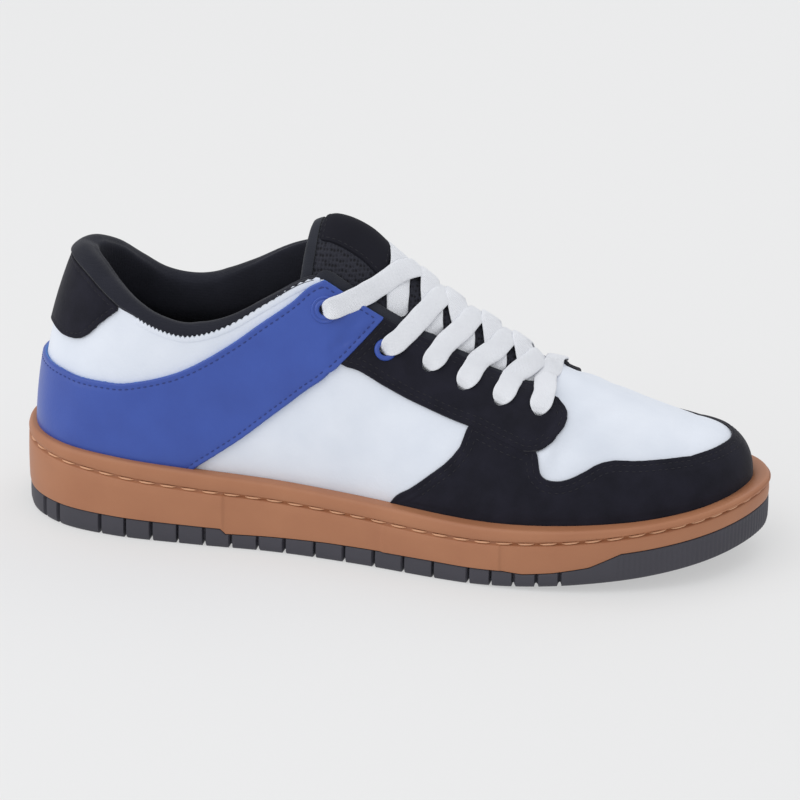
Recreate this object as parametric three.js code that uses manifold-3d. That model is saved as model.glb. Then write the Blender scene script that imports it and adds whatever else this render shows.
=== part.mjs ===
// A low leather sneaker on a stitched cup sole: the right shoe of a pair, standing empty on its sole.
// Millimetres. X runs from heel to toe, Y towards the inner side of the foot and Z up.
// The origin is on the floor under the middle of the heel.
//
// Places on the upper are given in pattern coordinates. The station runs along the sole's outline from the
// middle of the heel (0) to the tip of the toe (1), minus on the outer side. The rise runs up a rib of the
// upper, from the sole's floor (0) to the edge of the opening (1).

import * as THREE from "three";
import Module from "manifold-3d";

const wasm = await Module();
wasm.setup();

// Sizes of the whole shoe
const LENGTH = 300;
const BALL_WIDTH = 108;
const HEEL_BACK = 38;
const COLLAR_HEIGHT = 110;
const SOLE_HEIGHT = 35;
const TOE_SPRING = 12;

// Thicknesses and clearances
const GAP = 0.3;
const UPPER_WALL = 1.8;
const OVERLAY_SEAT = 0.4;
const OVERLAY_THICKNESS = 1.2;
const SEAM_GAP = 0.8;
const INSOLE_THICKNESS = 4;

// Sole details
const TREAD_PLATE = 4.2;
const BUMPER_WIDTH = 3.4;
const LUG_PITCH = 11.3;
const LUG_GROOVE_WIDTH = 2;
const LUG_GROOVE_DEPTH = 2;
const LUG_LENGTH = 16;
const LUG_EDGE = 1;
const WAIST_RECESS = 1.2;
const WAIST_START = 61;
const WAIST_END = 118;
const STITCH_CHANNEL_WIDTH = 3;
const STITCH_CHANNEL_DEPTH = 0.9;
const STITCH_CHANNEL_EDGE = 0.4;
const LIP_EDGE = 1.7;
const WALL_STEP = 0.5;

// Tongue, collar and lacing
const TONGUE_THICKNESS = 7.5;
const TONGUE_ROUNDNESS = 14;
const LABEL_THICKNESS = 0.8;
const ROLL_THICKNESS = 8;
const ROLL_RISE = 5;
const LACE_WIDTH = 8.5;
const LACE_THICKNESS = 1.6;
const LACE_EASE = 0.9;
const EYELET_RADIUS = 3.5;
const EYELET_WIRE = 0.8;

// A short table: named columns, and a row for each section.
function table(columns, rows) {
  return rows.map((row) => Object.fromEntries(columns.map((name, i) => [name, row[i]])));
}

// Outline of the sole seen from above, once round from the heel's back along the outer side.
// along: share of the length; across: share of the ball width, minus on the outer side.
const OUTLINE = table(["along", "across"], [
  [0, 0],
  [0.022, -0.205],
  [0.072, -0.33],
  [0.15, -0.388],
  [0.26, -0.396],
  [0.37, -0.39],
  [0.48, -0.42],
  [0.6, -0.476],
  [0.69, -0.497],
  [0.78, -0.472],
  [0.87, -0.395],
  [0.94, -0.262],
  [0.985, -0.085],
  [1, 0.075],
  [0.982, 0.235],
  [0.93, 0.37],
  [0.85, 0.46],
  [0.76, 0.503],
  [0.66, 0.492],
  [0.56, 0.44],
  [0.46, 0.385],
  [0.35, 0.355],
  [0.24, 0.362],
  [0.14, 0.362],
  [0.066, 0.31],
  [0.02, 0.19],
]);
const TOE_ROW = 13;

// Heights along the sole, as shares of the sole's height at the heel, without the toe spring.
// top: upper edge of the side wall; channel: stitch channel; floor: where the foot's floor lies.
const SIDE = table(["at", "top", "channel", "floor"], [
  [0, 1, 0.87, 0.486],
  [0.1, 0.975, 0.79, 0.478],
  [0.22, 0.914, 0.7, 0.462],
  [0.4, 0.817, 0.62, 0.395],
  [0.6, 0.723, 0.535, 0.31],
  [0.75, 0.663, 0.517, 0.277],
  [0.88, 0.615, 0.525, 0.285],
  [1, 0.589, 0.52, 0.3],
]);

// Upper edge of the dark tread rubber at each station, a share of the sole's height at the heel: it steps
// down behind the waist and climbs to the toe bumper.
const TREAD_TOP = table(["at", "top"], [
  [0, 0.275],
  [0.27, 0.235],
  [0.318, 0.23],
  [0.324, 0.165],
  [0.44, 0.2],
  [0.56, 0.21],
  [0.64, 0.19],
  [0.667, 0.15],
  [0.7, 0.16],
  [0.74, 0.2],
  [0.775, 0.325],
  [1, 0.325],
]);
const WALL_STEPS = [0.321, 0.505, 0.642];

// The opening's edge. along: share of the length; half: share of the ball width from the ridge line to
// the edge; height: share of the collar height.
const OUTER_COLLAR = table(["at", "along", "half", "height"], [
  [0, 0.0667, 0, 0.95],
  [0.05, 0.0783, 0.102, 0.953],
  [0.1, 0.105, 0.19, 0.93],
  [0.15, 0.138, 0.255, 0.877],
  [0.2, 0.177, 0.292, 0.812],
  [0.25, 0.215, 0.306, 0.773],
  [0.29, 0.25, 0.306, 0.764],
  [0.34, 0.297, 0.294, 0.809],
  [0.39, 0.353, 0.267, 0.909],
  [0.42, 0.393, 0.243, 0.978],
  [0.44, 0.4217, 0.227, 1.004],
]);
const INNER_COLLAR = table(["at", "along", "half", "height"], [
  [0, 0.0667, 0, 0.95],
  [0.05, 0.0783, 0.102, 0.939],
  [0.1, 0.1033, 0.19, 0.896],
  [0.15, 0.1317, 0.255, 0.827],
  [0.2, 0.1633, 0.292, 0.771],
  [0.25, 0.2033, 0.306, 0.753],
  [0.29, 0.24, 0.304, 0.773],
  [0.34, 0.2867, 0.287, 0.842],
  [0.39, 0.34, 0.264, 0.935],
  [0.42, 0.3867, 0.243, 0.987],
  [0.44, 0.4183, 0.227, 1.009],
]);
const THROAT = table(["at", "along", "half", "height"], [
  [0.44, 0.42, 0.227, 1.006],
  [0.5, 0.4967, 0.181, 0.86],
  [0.56, 0.5633, 0.157, 0.769],
  [0.62, 0.63, 0.143, 0.684],
  [0.66, 0.68, 0.128, 0.634],
  [0.68, 0.703, 0.092, 0.628],
  [0.693, 0.713, 0.044, 0.638],
  [0.7, 0.715, 0, 0.644],
]);
const RIDGE = table(["at", "along", "half", "height"], [
  [0.7, 0.715, 0, 0.644],
  [0.74, 0.762, 0, 0.598],
  [0.78, 0.81, 0, 0.549],
  [0.82, 0.8517, 0, 0.511],
  [0.86, 0.8933, 0, 0.478],
]);
const COLLAR_END = 0.44;
const THROAT_END = 0.7;
const RIDGE_END = 0.86;

// Sideways run of the ridge line, as a share of the ball width: the toe turns inwards.
const RIDGE_RUN = table(["at", "across"], [
  [0, 0],
  [0.33, 0],
  [0.63, 0.014],
  [1, 0.07],
]);

// How each rib bends. inset: its foot's distance inside the outline, share of the sole height; rise and
// swell: where its lower half stands; reach and drop: how its upper half leans in to the edge.
const RIBS = table(["at", "inset", "rise", "swell", "reach", "drop"], [
  [0, 0.16, 0.34, 0.074, 0.72, 0.3],
  [0.12, 0.172, 0.36, 0.086, 0.5, 0.3],
  [0.25, 0.186, 0.42, 0.086, 0.4, 0.28],
  [0.36, 0.191, 0.5, 0.043, 0.42, 0.3],
  [0.46, 0.195, 0.55, 0.029, 0.5, 0.26],
  [0.58, 0.2, 0.55, 0.043, 0.5, 0.18],
  [0.7, 0.21, 0.58, 0.063, 0.58, 0.05],
  [0.82, 0.222, 0.62, 0.086, 0.66, 0.02],
  [0.92, 0.24, 0.68, 0.097, 0.78, 0.05],
  [1, 0.263, 0.72, 0.103, 0.84, 0.12],
]);

// The overlays, as the rise of their lower and upper edges at each station. A low of 0 is the sole's edge.
const HEEL_BAND = table(["at", "low", "high"], [
  [0, 0, 0.51],
  [0.06, 0, 0.515],
  [0.12, 0, 0.53],
  [0.18, 0, 0.58],
  [0.22, 0, 0.65],
  [0.26, 0, 0.735],
  [0.281, 0.16, 0.79],
  [0.31, 0.25, 0.85],
  [0.34, 0.325, 0.895],
  [0.375, 0.405, 0.925],
  [0.41, 0.47, 0.945],
  [0.43, 0.505, 0.985],
  [0.444, 0.55, 0.995],
  [0.454, 0.61, 0.995],
  [0.464, 0.68, 0.995],
  [0.474, 0.76, 0.995],
  [0.485, 0.855, 0.995],
  [0.496, 0.955, 0.995],
]);
const EYESTAY = table(["at", "low", "high"], [
  [0.46, 0.607, 0.635],
  [0.466, 0.615, 0.68],
  [0.474, 0.62, 0.74],
  [0.485, 0.617, 0.835],
  [0.496, 0.61, 0.935],
  [0.506, 0.605, 0.995],
  [0.531, 0.59, 0.995],
  [0.579, 0.57, 0.995],
  [0.602, 0.565, 0.995],
  [0.642, 0.525, 0.995],
  [0.664, 0.502, 0.985],
  [0.68, 0.508, 0.925],
  [0.688, 0.518, 0.862],
  [0.696, 0.534, 0.79],
  [0.703, 0.566, 0.757],
  [0.7085, 0.612, 0.73],
  [0.7112, 0.655, 0.7],
]);
const MUDGUARD = table(["at", "low", "high"], [
  [0.516, 0, 0.15],
  [0.531, 0, 0.19],
  [0.554, 0, 0.27],
  [0.576, 0, 0.36],
  [0.589, 0, 0.44],
  [0.602, 0, 0.55],
  [0.642, 0, 0.512],
  [0.668, 0, 0.487],
  [0.677, 0, 0.475],
  [0.682, 0, 0.385],
  [0.69, 0, 0.35],
  [0.701, 0, 0.333],
  [0.7125, 0, 0.347],
  [0.73, 0, 0.392],
  [0.75, 0, 0.46],
  [0.768, 0, 0.502],
  [0.79, 0, 0.525],
  [0.82, 0, 0.56],
  [0.85, 0, 0.597],
  [0.885, 0, 0.614],
  [0.92, 0, 0.617],
  [0.955, 0, 0.63],
  [1, 0, 0.655],
]);
const HEEL_TAB = table(["at", "low", "high"], [
  [0, 0.65, 0.995],
  [0.05, 0.665, 0.995],
  [0.078, 0.662, 0.995],
  [0.1, 0.675, 0.995],
  [0.117, 0.703, 0.995],
  [0.132, 0.76, 0.995],
  [0.142, 0.82, 0.995],
  [0.155, 0.89, 0.995],
  [0.168, 0.965, 0.995],
]);

// The tongue's sections from its front end to its top. along and crest: shares of the length and the
// collar height; half: share of the ball width; steep: slope of its flanks; thick: of its thickness.
const TONGUE = table(["at", "along", "crest", "half", "steep", "thick"], [
  [0, 0.765, 0.53, 0.16, 1.3, 0.33],
  [0.08, 0.735, 0.568, 0.2, 1.65, 0.4],
  [0.14, 0.71, 0.62, 0.21, 2, 0.4],
  [0.22, 0.683, 0.7, 0.215, 2.35, 0.47],
  [0.36, 0.63, 0.795, 0.22, 2.5, 0.53],
  [0.52, 0.563, 0.905, 0.225, 2.55, 0.6],
  [0.68, 0.497, 1.04, 0.225, 2.6, 0.67],
  [0.8, 0.46, 1.122, 0.225, 2.3, 0.8],
  [0.92, 0.42, 1.158, 0.215, 2, 1],
  [1, 0.392, 1.135, 0.2, 1.7, 0.87],
]);

// Eyelets, top to bottom. cross: share of the length where the crossing that starts there meets the ridge.
const EYELETS = table(["at", "rise", "cross"], [
  [0.439, 0.85, 0.502],
  [0.501, 0.81, 0.556],
  [0.551, 0.82, 0.602],
  [0.592, 0.79, 0.648],
  [0.634, 0.77, 0.676],
  [0.676, 0.74, 0.694],
]);
const RINGED_EYELETS = 2;

// A smooth value from a table's column. Where a form runs on past the first or last row as its own
// mirror image, it is level there.
function smooth(rows, column, at, levelStart = false, levelEnd = false) {
  const last = rows.length - 1;
  const here = Math.min(Math.max(at, rows[0].at), rows[last].at);
  let i = 0;
  while (i < last - 1 && here > rows[i + 1].at) i += 1;
  const slope = (k) => {
    if ((k === 0 && levelStart) || (k === last && levelEnd)) return 0;
    const before = rows[Math.max(k - 1, 0)];
    const after = rows[Math.min(k + 1, last)];
    return (after[column] - before[column]) / (after.at - before.at);
  };
  const run = rows[i + 1].at - rows[i].at;
  const t = (here - rows[i].at) / run;
  const u = 1 - t;
  return (
    (1 + 2 * t) * u * u * rows[i][column] +
    t * u * u * run * slope(i) +
    t * t * (3 - 2 * t) * rows[i + 1][column] -
    t * t * u * run * slope(i + 1)
  );
}

// A value on straight lines between a table's rows.
function straight(rows, column, at) {
  const last = rows.length - 1;
  const here = Math.min(Math.max(at, rows[0].at), rows[last].at);
  let i = 0;
  while (i < last - 1 && here > rows[i + 1].at) i += 1;
  const t = (here - rows[i].at) / (rows[i + 1].at - rows[i].at);
  return rows[i][column] * (1 - t) + rows[i + 1][column] * t;
}

const alongOf = (x) => (x + HEEL_BACK) / LENGTH;
const xOf = (along) => along * LENGTH - HEEL_BACK;
const vec = (x, y, z) => new THREE.Vector3(x, y, z);
const mix = (a, b, t) => a.clone().lerp(b, t);

// The outline as two runs of close points, outer and inner, from the heel's back to the toe's tip.
function outlineRuns() {
  const knots = OUTLINE.map((row) => vec(xOf(row.along), row.across * BALL_WIDTH, 0));
  const loop = new THREE.CatmullRomCurve3(knots, true, "centripetal");
  const fine = 24;
  const count = knots.length;
  const points = [];
  for (let k = 0; k < count * fine; k += 1) points.push(loop.getPoint(k / (count * fine)));
  const toe = TOE_ROW * fine;
  const outer = points.slice(0, toe + 1);
  const inner = [...points.slice(toe), points[0]].reverse();
  return { outer, inner, points };
}
const runs = outlineRuns();

function measured(run, ring) {
  let sum = 0;
  const samples = run.map((point, i) => {
    if (i > 0) sum += point.distanceTo(run[i - 1]);
    const k = ring.indexOf(point);
    const before = ring[(k + ring.length - 1) % ring.length];
    const after = ring[(k + 1) % ring.length];
    const normal = vec(after.y - before.y, before.x - after.x, 0).normalize();
    return { sum, point, normal };
  });
  return { samples, total: sum };
}
const sides = { outer: measured(runs.outer, runs.points), inner: measured(runs.inner, runs.points) };
const heelway = Math.sign(sides.outer.samples[0].normal.x);
const SIDE_LENGTH = (sides.outer.total + sides.inner.total) / 2;

// Point of the outline at a station, and the direction that points out of it.
function outlineAt(station) {
  const { samples, total } = station < 0 ? sides.outer : sides.inner;
  const want = Math.min(Math.abs(station), 1) * total;
  let i = 1;
  while (i < samples.length - 1 && samples[i].sum < want) i += 1;
  const t = (want - samples[i - 1].sum) / (samples[i].sum - samples[i - 1].sum);
  const point = mix(samples[i - 1].point, samples[i].point, t);
  const out = mix(samples[i - 1].normal, samples[i].normal, t).normalize().multiplyScalar(-heelway);
  return { point, out };
}

// Heights of the sole
const lift = (along) => TOE_SPRING * Math.max(0, (along - 0.62) / 0.38) ** 1.5;
const sideHeight = (column, x) => {
  const along = Math.min(Math.max(alongOf(x), 0), 1);
  return smooth(SIDE, column, along) * SOLE_HEIGHT + lift(along);
};
const ground = (x) => lift(Math.max(alongOf(x), 0));
const treadTop = (station, x) => straight(TREAD_TOP, "top", Math.abs(station)) * SOLE_HEIGHT + ground(x);
const ridgeY = (x) => smooth(RIDGE_RUN, "across", alongOf(x), true) * BALL_WIDTH;

// Edge of the opening, and past the throat the ridge where both halves of the vamp meet.
function edgeAt(station) {
  const at = Math.min(Math.abs(station), RIDGE_END);
  const collar = station < 0 ? OUTER_COLLAR : INNER_COLLAR;
  const rows = at < COLLAR_END ? collar : at < THROAT_END ? THROAT : RIDGE;
  const level = rows === collar;
  const x = xOf(smooth(rows, "along", at, level, rows === THROAT));
  const half = smooth(rows, "half", at) * BALL_WIDTH;
  const side = station < 0 ? -1 : 1;
  return vec(x, ridgeY(x) + side * half, smooth(rows, "height", at, level) * COLLAR_HEIGHT);
}

// The upper's outer face: a rib at each station, from the sole's floor up to the edge.
function ribPoint(station, rise) {
  const { point, out } = outlineAt(station);
  const at = Math.abs(station);
  const bend = (column) => smooth(RIBS, column, at, true, true);
  const foot = point.clone().addScaledVector(out, -bend("inset") * SOLE_HEIGHT);
  foot.z = sideHeight("floor", foot.x);
  const edge = edgeAt(station);
  const height = edge.z - foot.z;
  const lower = foot.clone().addScaledVector(out, bend("swell") * SOLE_HEIGHT);
  lower.z += bend("rise") * height;
  const upper = mix(edge, foot, bend("reach"));
  upper.z = edge.z - bend("drop") * height;
  const u = 1 - rise;
  return foot
    .multiplyScalar(u * u * u)
    .addScaledVector(lower, 3 * rise * u * u)
    .addScaledVector(upper, 3 * rise * rise * u)
    .addScaledVector(edge, rise * rise * rise);
}

function ribNormal(station, rise) {
  const side = station < 0 ? -1 : 1;
  const at = Math.min(Math.max(Math.abs(station), 0.003), 0.997);
  const up = Math.min(Math.max(rise, 0.01), 0.985);
  const along = ribPoint(side * (at + 0.003), up).sub(ribPoint(side * (at - 0.003), up));
  const climb = ribPoint(side * at, up + 0.01).sub(ribPoint(side * at, up - 0.01));
  const normal = along.cross(climb).normalize();
  return normal.multiplyScalar(-side);
}

// A point at a distance outside the upper's outer face (minus: inside it).
// On the ridge both sides share the point, so the two halves of the vamp close.
function skin(station, rise, distance) {
  let at = station;
  if (rise > 0.999 && Math.abs(station) >= THROAT_END) {
    at = Math.min(Math.abs(station), RIDGE_END);
    const both = ribNormal(at, rise).add(ribNormal(-at, rise)).normalize();
    return ribPoint(at, rise).addScaledVector(both, distance);
  }
  if (Math.abs(station) < 1e-6) {
    const both = ribNormal(1e-6, rise).add(ribNormal(-1e-6, rise)).normalize();
    return ribPoint(at, rise).addScaledVector(both, distance);
  }
  if (Math.abs(station) > 1 - 1e-6) {
    const both = ribNormal(1, rise).add(ribNormal(-1, rise)).normalize();
    return ribPoint(1, rise).addScaledVector(both, distance);
  }
  return ribPoint(at, rise).addScaledVector(ribNormal(at, rise), distance);
}

// The rise at which a rib clears the sole's side wall.
function biteRise(station) {
  let low = 0;
  let high = 0.6;
  for (let i = 0; i < 24; i += 1) {
    const middle = (low + high) / 2;
    const point = ribPoint(station, middle);
    if (point.z > sideHeight("top", point.x) + SEAM_GAP) high = middle;
    else low = middle;
  }
  return high;
}

// Closed solids from rows of points
// A solid is a list of corners and of triangles; corners that fall together are joined.
class Shape {
  constructor() {
    this.corners = [];
    this.faces = [];
    this.known = new Map();
  }
  corner(point) {
    const key = [point.x, point.y, point.z].map((v) => Math.round(v * 1000)).join(",");
    if (!this.known.has(key)) {
      this.known.set(key, this.corners.length / 3);
      this.corners.push(point.x, point.y, point.z);
    }
    return this.known.get(key);
  }
  triangle(a, b, c) {
    const [i, j, k] = [this.corner(a), this.corner(b), this.corner(c)];
    if (i !== j && j !== k && k !== i) this.faces.push(i, j, k);
  }
  quad(a, b, c, d) {
    this.triangle(a, b, c);
    this.triangle(a, c, d);
  }
  volume() {
    const at = (i) => vec(this.corners[3 * i], this.corners[3 * i + 1], this.corners[3 * i + 2]);
    let sum = 0;
    for (let f = 0; f < this.faces.length; f += 3) {
      const [a, b, c] = [at(this.faces[f]), at(this.faces[f + 1]), at(this.faces[f + 2])];
      sum += a.dot(b.cross(c)) / 6;
    }
    return sum;
  }
  solid() {
    const faces = [...this.faces];
    if (this.volume() < 0) faces.reverse();
    return new wasm.Manifold(
      new wasm.Mesh({
        numProp: 3,
        vertProperties: new Float32Array(this.corners),
        triVerts: new Uint32Array(faces),
      }),
    );
  }
}

// Skins a row of profiles. round: the last profile meets the first; looped: each profile is a ring;
// capped: flat ends between a profile's first and second half; open(i, j) leaves a face out.
function loft(profiles, { round = false, looped = false, capped = false, open = () => false }) {
  const shape = new Shape();
  const count = profiles.length;
  const size = profiles[0].length;
  for (let i = 0; i < (round ? count : count - 1); i += 1) {
    const here = profiles[i];
    const next = profiles[(i + 1) % count];
    for (let j = 0; j < (looped ? size : size - 1); j += 1) {
      const k = (j + 1) % size;
      if (!open(i, j)) shape.quad(here[j], next[j], next[k], here[k]);
    }
  }
  if (capped) {
    const start = profiles[0];
    const end = profiles[count - 1];
    for (let j = 0; j < size / 2 - 1; j += 1) {
      const k = size - 1 - j;
      shape.quad(start[j], start[j + 1], start[k - 1], start[k]);
      shape.quad(end[k], end[k - 1], end[j + 1], end[j]);
    }
  }
  return shape;
}

// Every station once round the shoe, from the toe along the outer side to the heel and back on the inner.
const HALF_STATIONS = [];
for (let i = 0; i < 14; i += 1) HALF_STATIONS.push((COLLAR_END * i) / 14);
HALF_STATIONS.push(0.44, 0.472, 0.503, 0.535, 0.567, 0.6, 0.634, 0.662, 0.68, 0.693);
for (let i = 0; i < 5; i += 1) HALF_STATIONS.push(THROAT_END + ((RIDGE_END - THROAT_END) * i) / 5);
for (let i = 0; i <= 6; i += 1) HALF_STATIONS.push(RIDGE_END + ((1 - RIDGE_END) * i) / 6);
const roundTrip = (half) => [...[...half].reverse().map((s) => -s), ...half.slice(1, -1)];
const STATIONS = roundTrip(HALF_STATIONS).map((s) => (s === 0 ? 0 : s));
const RISES = [0, 0.15, 0.3, 0.45, 0.6, 0.73, 0.84, 0.93, 1];

// The upper: outer face up, inner face down again. Past the throat the halves join along the ridge.
function makeUpper() {
  const profiles = STATIONS.map((s) => [
    ...RISES.map((rise) => skin(s, rise, 0)),
    ...[...RISES].reverse().map((rise) => skin(s, rise, -UPPER_WALL)),
  ]);
  const rim = RISES.length - 1;
  const past = (s) => Math.abs(s) >= THROAT_END - 1e-9;
  const open = (i, j) => j === rim && past(STATIONS[i]) && past(STATIONS[(i + 1) % STATIONS.length]);
  return loft(profiles, { round: true, looped: true, open });
}

// An overlay lies on the upper between its low and high edges. stations: where its sections are;
// steps: how many faces it has from its low edge to its high one.
function makeOverlay(rows, stations, steps) {
  const profiles = stations.map((s) => {
    const at = Math.abs(s);
    const low = Math.max(straight(rows, "low", at), biteRise(s));
    const high = straight(rows, "high", at);
    const rises = [];
    for (let j = 0; j <= steps; j += 1) rises.push(low + ((high - low) * j) / steps);
    return [
      ...rises.map((rise) => skin(s, rise, OVERLAY_SEAT)),
      ...rises.reverse().map((rise) => skin(s, rise, OVERLAY_SEAT + OVERLAY_THICKNESS)),
    ];
  });
  return loft(profiles, { looped: true, capped: true });
}

// The stations between two places, the table's own rows among them.
function stationsOf(rows, from, to) {
  const inside = (s) => s > from + 1e-9 && s < to - 1e-9;
  const own = rows.map((row) => row.at).filter(inside);
  const apart = (s) => own.every((other) => Math.abs(other - s) > 0.01);
  const shared = HALF_STATIONS.filter((s) => inside(s) && apart(s));
  return [from, ...own, ...shared, to].sort((a, b) => a - b);
}

const mirrored = (half) => [...[...half].reverse().map((s) => -s), ...half.slice(half[0] === 0 ? 1 : 0)];

function makeHeelBand() {
  const end = HEEL_BAND[HEEL_BAND.length - 1].at;
  return makeOverlay(HEEL_BAND, mirrored(stationsOf(HEEL_BAND, 0, end)), 4);
}

function makeHeelTab() {
  const end = HEEL_TAB[HEEL_TAB.length - 1].at;
  return makeOverlay(HEEL_TAB, mirrored(stationsOf(HEEL_TAB, 0, end)), 4);
}

function makeMudguard() {
  const half = stationsOf(MUDGUARD, MUDGUARD[0].at, 1);
  const back = [...half].reverse().slice(1);
  return makeOverlay(MUDGUARD, [...half.map((s) => -s), ...back], 5);
}

function makeEyestay(side) {
  const half = stationsOf(EYESTAY, EYESTAY[0].at, EYESTAY[EYESTAY.length - 1].at);
  return makeOverlay(EYESTAY, half.map((s) => side * s), 5);
}

// Sole
// A place inside the outline: a distance in from its edge, or the middle line where the distance is null.
const SPINE_HEEL = 0.145;
const SPINE_TOE = 0.845;
function inside(station, inset) {
  const { point, out } = outlineAt(station);
  if (inset !== null) return point.clone().addScaledVector(out, -inset);
  const other = outlineAt(-station).point;
  const middle = mix(point, other, 0.5);
  const along = Math.min(Math.max(alongOf(middle.x), SPINE_HEEL), SPINE_TOE);
  return vec(xOf(along), ridgeY(xOf(along)), 0);
}
const raised = (point, z) => vec(point.x, point.y, z);

// Stations of the tread: each groove between two lugs has both of its edges and its floor.
const FIRST_GROOVE = 0.135;
const LAST_GROOVE = 0.74;
const TREAD_KNOTS = TREAD_TOP.map((row) => row.at);
function lugStations() {
  const half = HALF_STATIONS.filter((s) => s < FIRST_GROOVE - 0.01 || s > LAST_GROOVE + 0.01);
  const pitch = LUG_PITCH / SIDE_LENGTH;
  const width = LUG_GROOVE_WIDTH / SIDE_LENGTH;
  const grooves = new Set();
  const count = Math.floor((LAST_GROOVE - FIRST_GROOVE) / pitch);
  for (let i = 0; i <= count; i += 1) {
    const middle = FIRST_GROOVE + i * pitch;
    half.push(middle - width / 2, middle, middle + width / 2);
    grooves.add(middle);
  }
  const apart = (knot) => half.every((s) => Math.abs(s - knot) > 0.002);
  half.push(...TREAD_KNOTS.filter(apart));
  return { half: half.sort((a, b) => a - b), grooves };
}

// A point of the sole's profile: how far inside the outline, and its height worked out where it lies.
function profilePoint(station, inset, height) {
  const point = inside(station, inset);
  return raised(point, height(point));
}

function makeOutsole() {
  const { half, grooves } = lugStations();
  const waist = (x) => Math.min(Math.max((x - WAIST_START) / (WAIST_END - WAIST_START), 0), 1);
  const recess = (x) => WAIST_RECESS * Math.sqrt(Math.sin(Math.PI * waist(x)));
  const plate = (p) => ground(p.x) + TREAD_PLATE;
  const profiles = roundTrip(half).map((s) => {
    const deep = grooves.has(Math.abs(s)) ? LUG_GROOVE_DEPTH : 0;
    const top = (p) => treadTop(s, p.x);
    return [
      profilePoint(s, null, plate),
      profilePoint(s, BUMPER_WIDTH + LUG_EDGE / 2, plate),
      profilePoint(s, BUMPER_WIDTH, top),
      profilePoint(s, 2 * GAP + deep, top),
      profilePoint(s, 2 * GAP + LUG_EDGE + deep, (p) => ground(p.x) + deep),
      profilePoint(s, LUG_LENGTH, (p) => ground(p.x) + recess(p.x)),
      profilePoint(s, null, (p) => ground(p.x) + recess(p.x)),
    ];
  });
  return loft(profiles, { round: true });
}

// The cup sole: floor, inner wall against the upper, lip, side wall with its stitch channel, underside.
function makeMidsole() {
  const joints = [...TREAD_KNOTS, ...WALL_STEPS.map((at) => at + 0.004)];
  const apart = (s) => joints.every((joint) => Math.abs(s - joint) > 0.006);
  const half = [...HALF_STATIONS.filter((s) => apart(s) || s === 0 || s === 1), ...joints.slice(1, -1)];
  if (!half.includes(1)) half.push(1);
  half.push(...joints.slice(TREAD_KNOTS.length));
  const ordered = [...new Set(half)].sort((a, b) => a - b);
  const plate = (p) => ground(p.x) + TREAD_PLATE + GAP;
  const floorOf = (p) => sideHeight("floor", p.x) - GAP;
  const topOf = (p) => sideHeight("top", p.x);
  const channel = (p) => sideHeight("channel", p.x);
  const profiles = roundTrip(ordered).map((s) => {
    const { out } = outlineAt(s);
    const under = (p) => treadTop(s, p.x) + GAP;
    const passed = WALL_STEPS.filter((at) => Math.abs(s) > at + 0.001).length;
    const set = passed % 2 === 1 ? WALL_STEP : 0;
    const bite = biteRise(s);
    const wall = (rise) => ribPoint(s, rise).addScaledVector(out, GAP);
    const foot = wall(0);
    const lip = wall(bite);
    return [
      profilePoint(s, null, floorOf),
      raised(foot, floorOf(foot)),
      wall(bite * 0.5),
      raised(lip, topOf(lip)),
      profilePoint(s, LIP_EDGE, topOf),
      profilePoint(s, STITCH_CHANNEL_EDGE, (p) => channel(p) + STITCH_CHANNEL_WIDTH / 2),
      profilePoint(s, STITCH_CHANNEL_EDGE + STITCH_CHANNEL_DEPTH, channel),
      profilePoint(s, STITCH_CHANNEL_EDGE / 2 + set, (p) => channel(p) - STITCH_CHANNEL_WIDTH / 2),
      profilePoint(s, set, under),
      profilePoint(s, BUMPER_WIDTH + GAP, under),
      profilePoint(s, BUMPER_WIDTH + GAP + LUG_EDGE, plate),
      profilePoint(s, null, plate),
    ];
  });
  return loft(profiles, { round: true });
}

// The insole fills the upper's foot from wall to wall.
function makeInsole() {
  const profiles = STATIONS.map((s) => {
    const low = skin(s, RISES[0], -UPPER_WALL - GAP);
    const above = skin(s, RISES[1], -UPPER_WALL - GAP);
    const bottom = raised(low, sideHeight("floor", low.x));
    const share = INSOLE_THICKNESS / (above.z - low.z);
    const side = mix(low, above, share);
    const top = raised(side, bottom.z + INSOLE_THICKNESS);
    const spine = inside(s, null);
    const level = sideHeight("floor", spine.x);
    return [raised(spine, level + INSOLE_THICKNESS), top, bottom, raised(spine, level)];
  });
  return loft(profiles, { round: true });
}

// Collar padding: a knitted roll on the wall's inner face that stands above the edge and thins out towards
// the eyestay's corner.
const ROLL_THINS_FROM = 0.3;
function makeCollarPadding() {
  const half = HALF_STATIONS.filter((s) => s < COLLAR_END - 0.01);
  const below = RISES.slice(-4, -1);
  const profiles = mirrored(half).map((s) => {
    const end = Math.max(0, (Math.abs(s) - ROLL_THINS_FROM) / (COLLAR_END - ROLL_THINS_FROM));
    const thick = ROLL_THICKNESS * (1 - 0.72 * end);
    const rise = ROLL_RISE * (1 - 0.85 * end);
    const edge = skin(s, 1, 0);
    const inward = ribNormal(s === 0 ? 1e-6 : s, 0.97).negate();
    if (s === 0) inward.y = 0;
    inward.z = 0;
    inward.normalize();
    const over = (deep, up) => edge.clone().addScaledVector(inward, deep).add(vec(0, 0, up));
    const wall = (share) => -UPPER_WALL - GAP - thick * share;
    return [
      skin(s, below[0], wall(0)),
      skin(s, below[1], wall(0)),
      skin(s, below[2], wall(0)),
      skin(s, 1, wall(0)),
      over(UPPER_WALL * 0.6, rise * 0.45),
      over(thick * 0.4, rise),
      over(thick * 0.85, rise * 0.8),
      over(thick + UPPER_WALL * 0.7, rise * 0.1),
      skin(s, below[1], wall(1)),
      skin(s, below[0], wall(0.55)),
    ];
  });
  return loft(profiles, { looped: true, capped: true });
}

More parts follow.
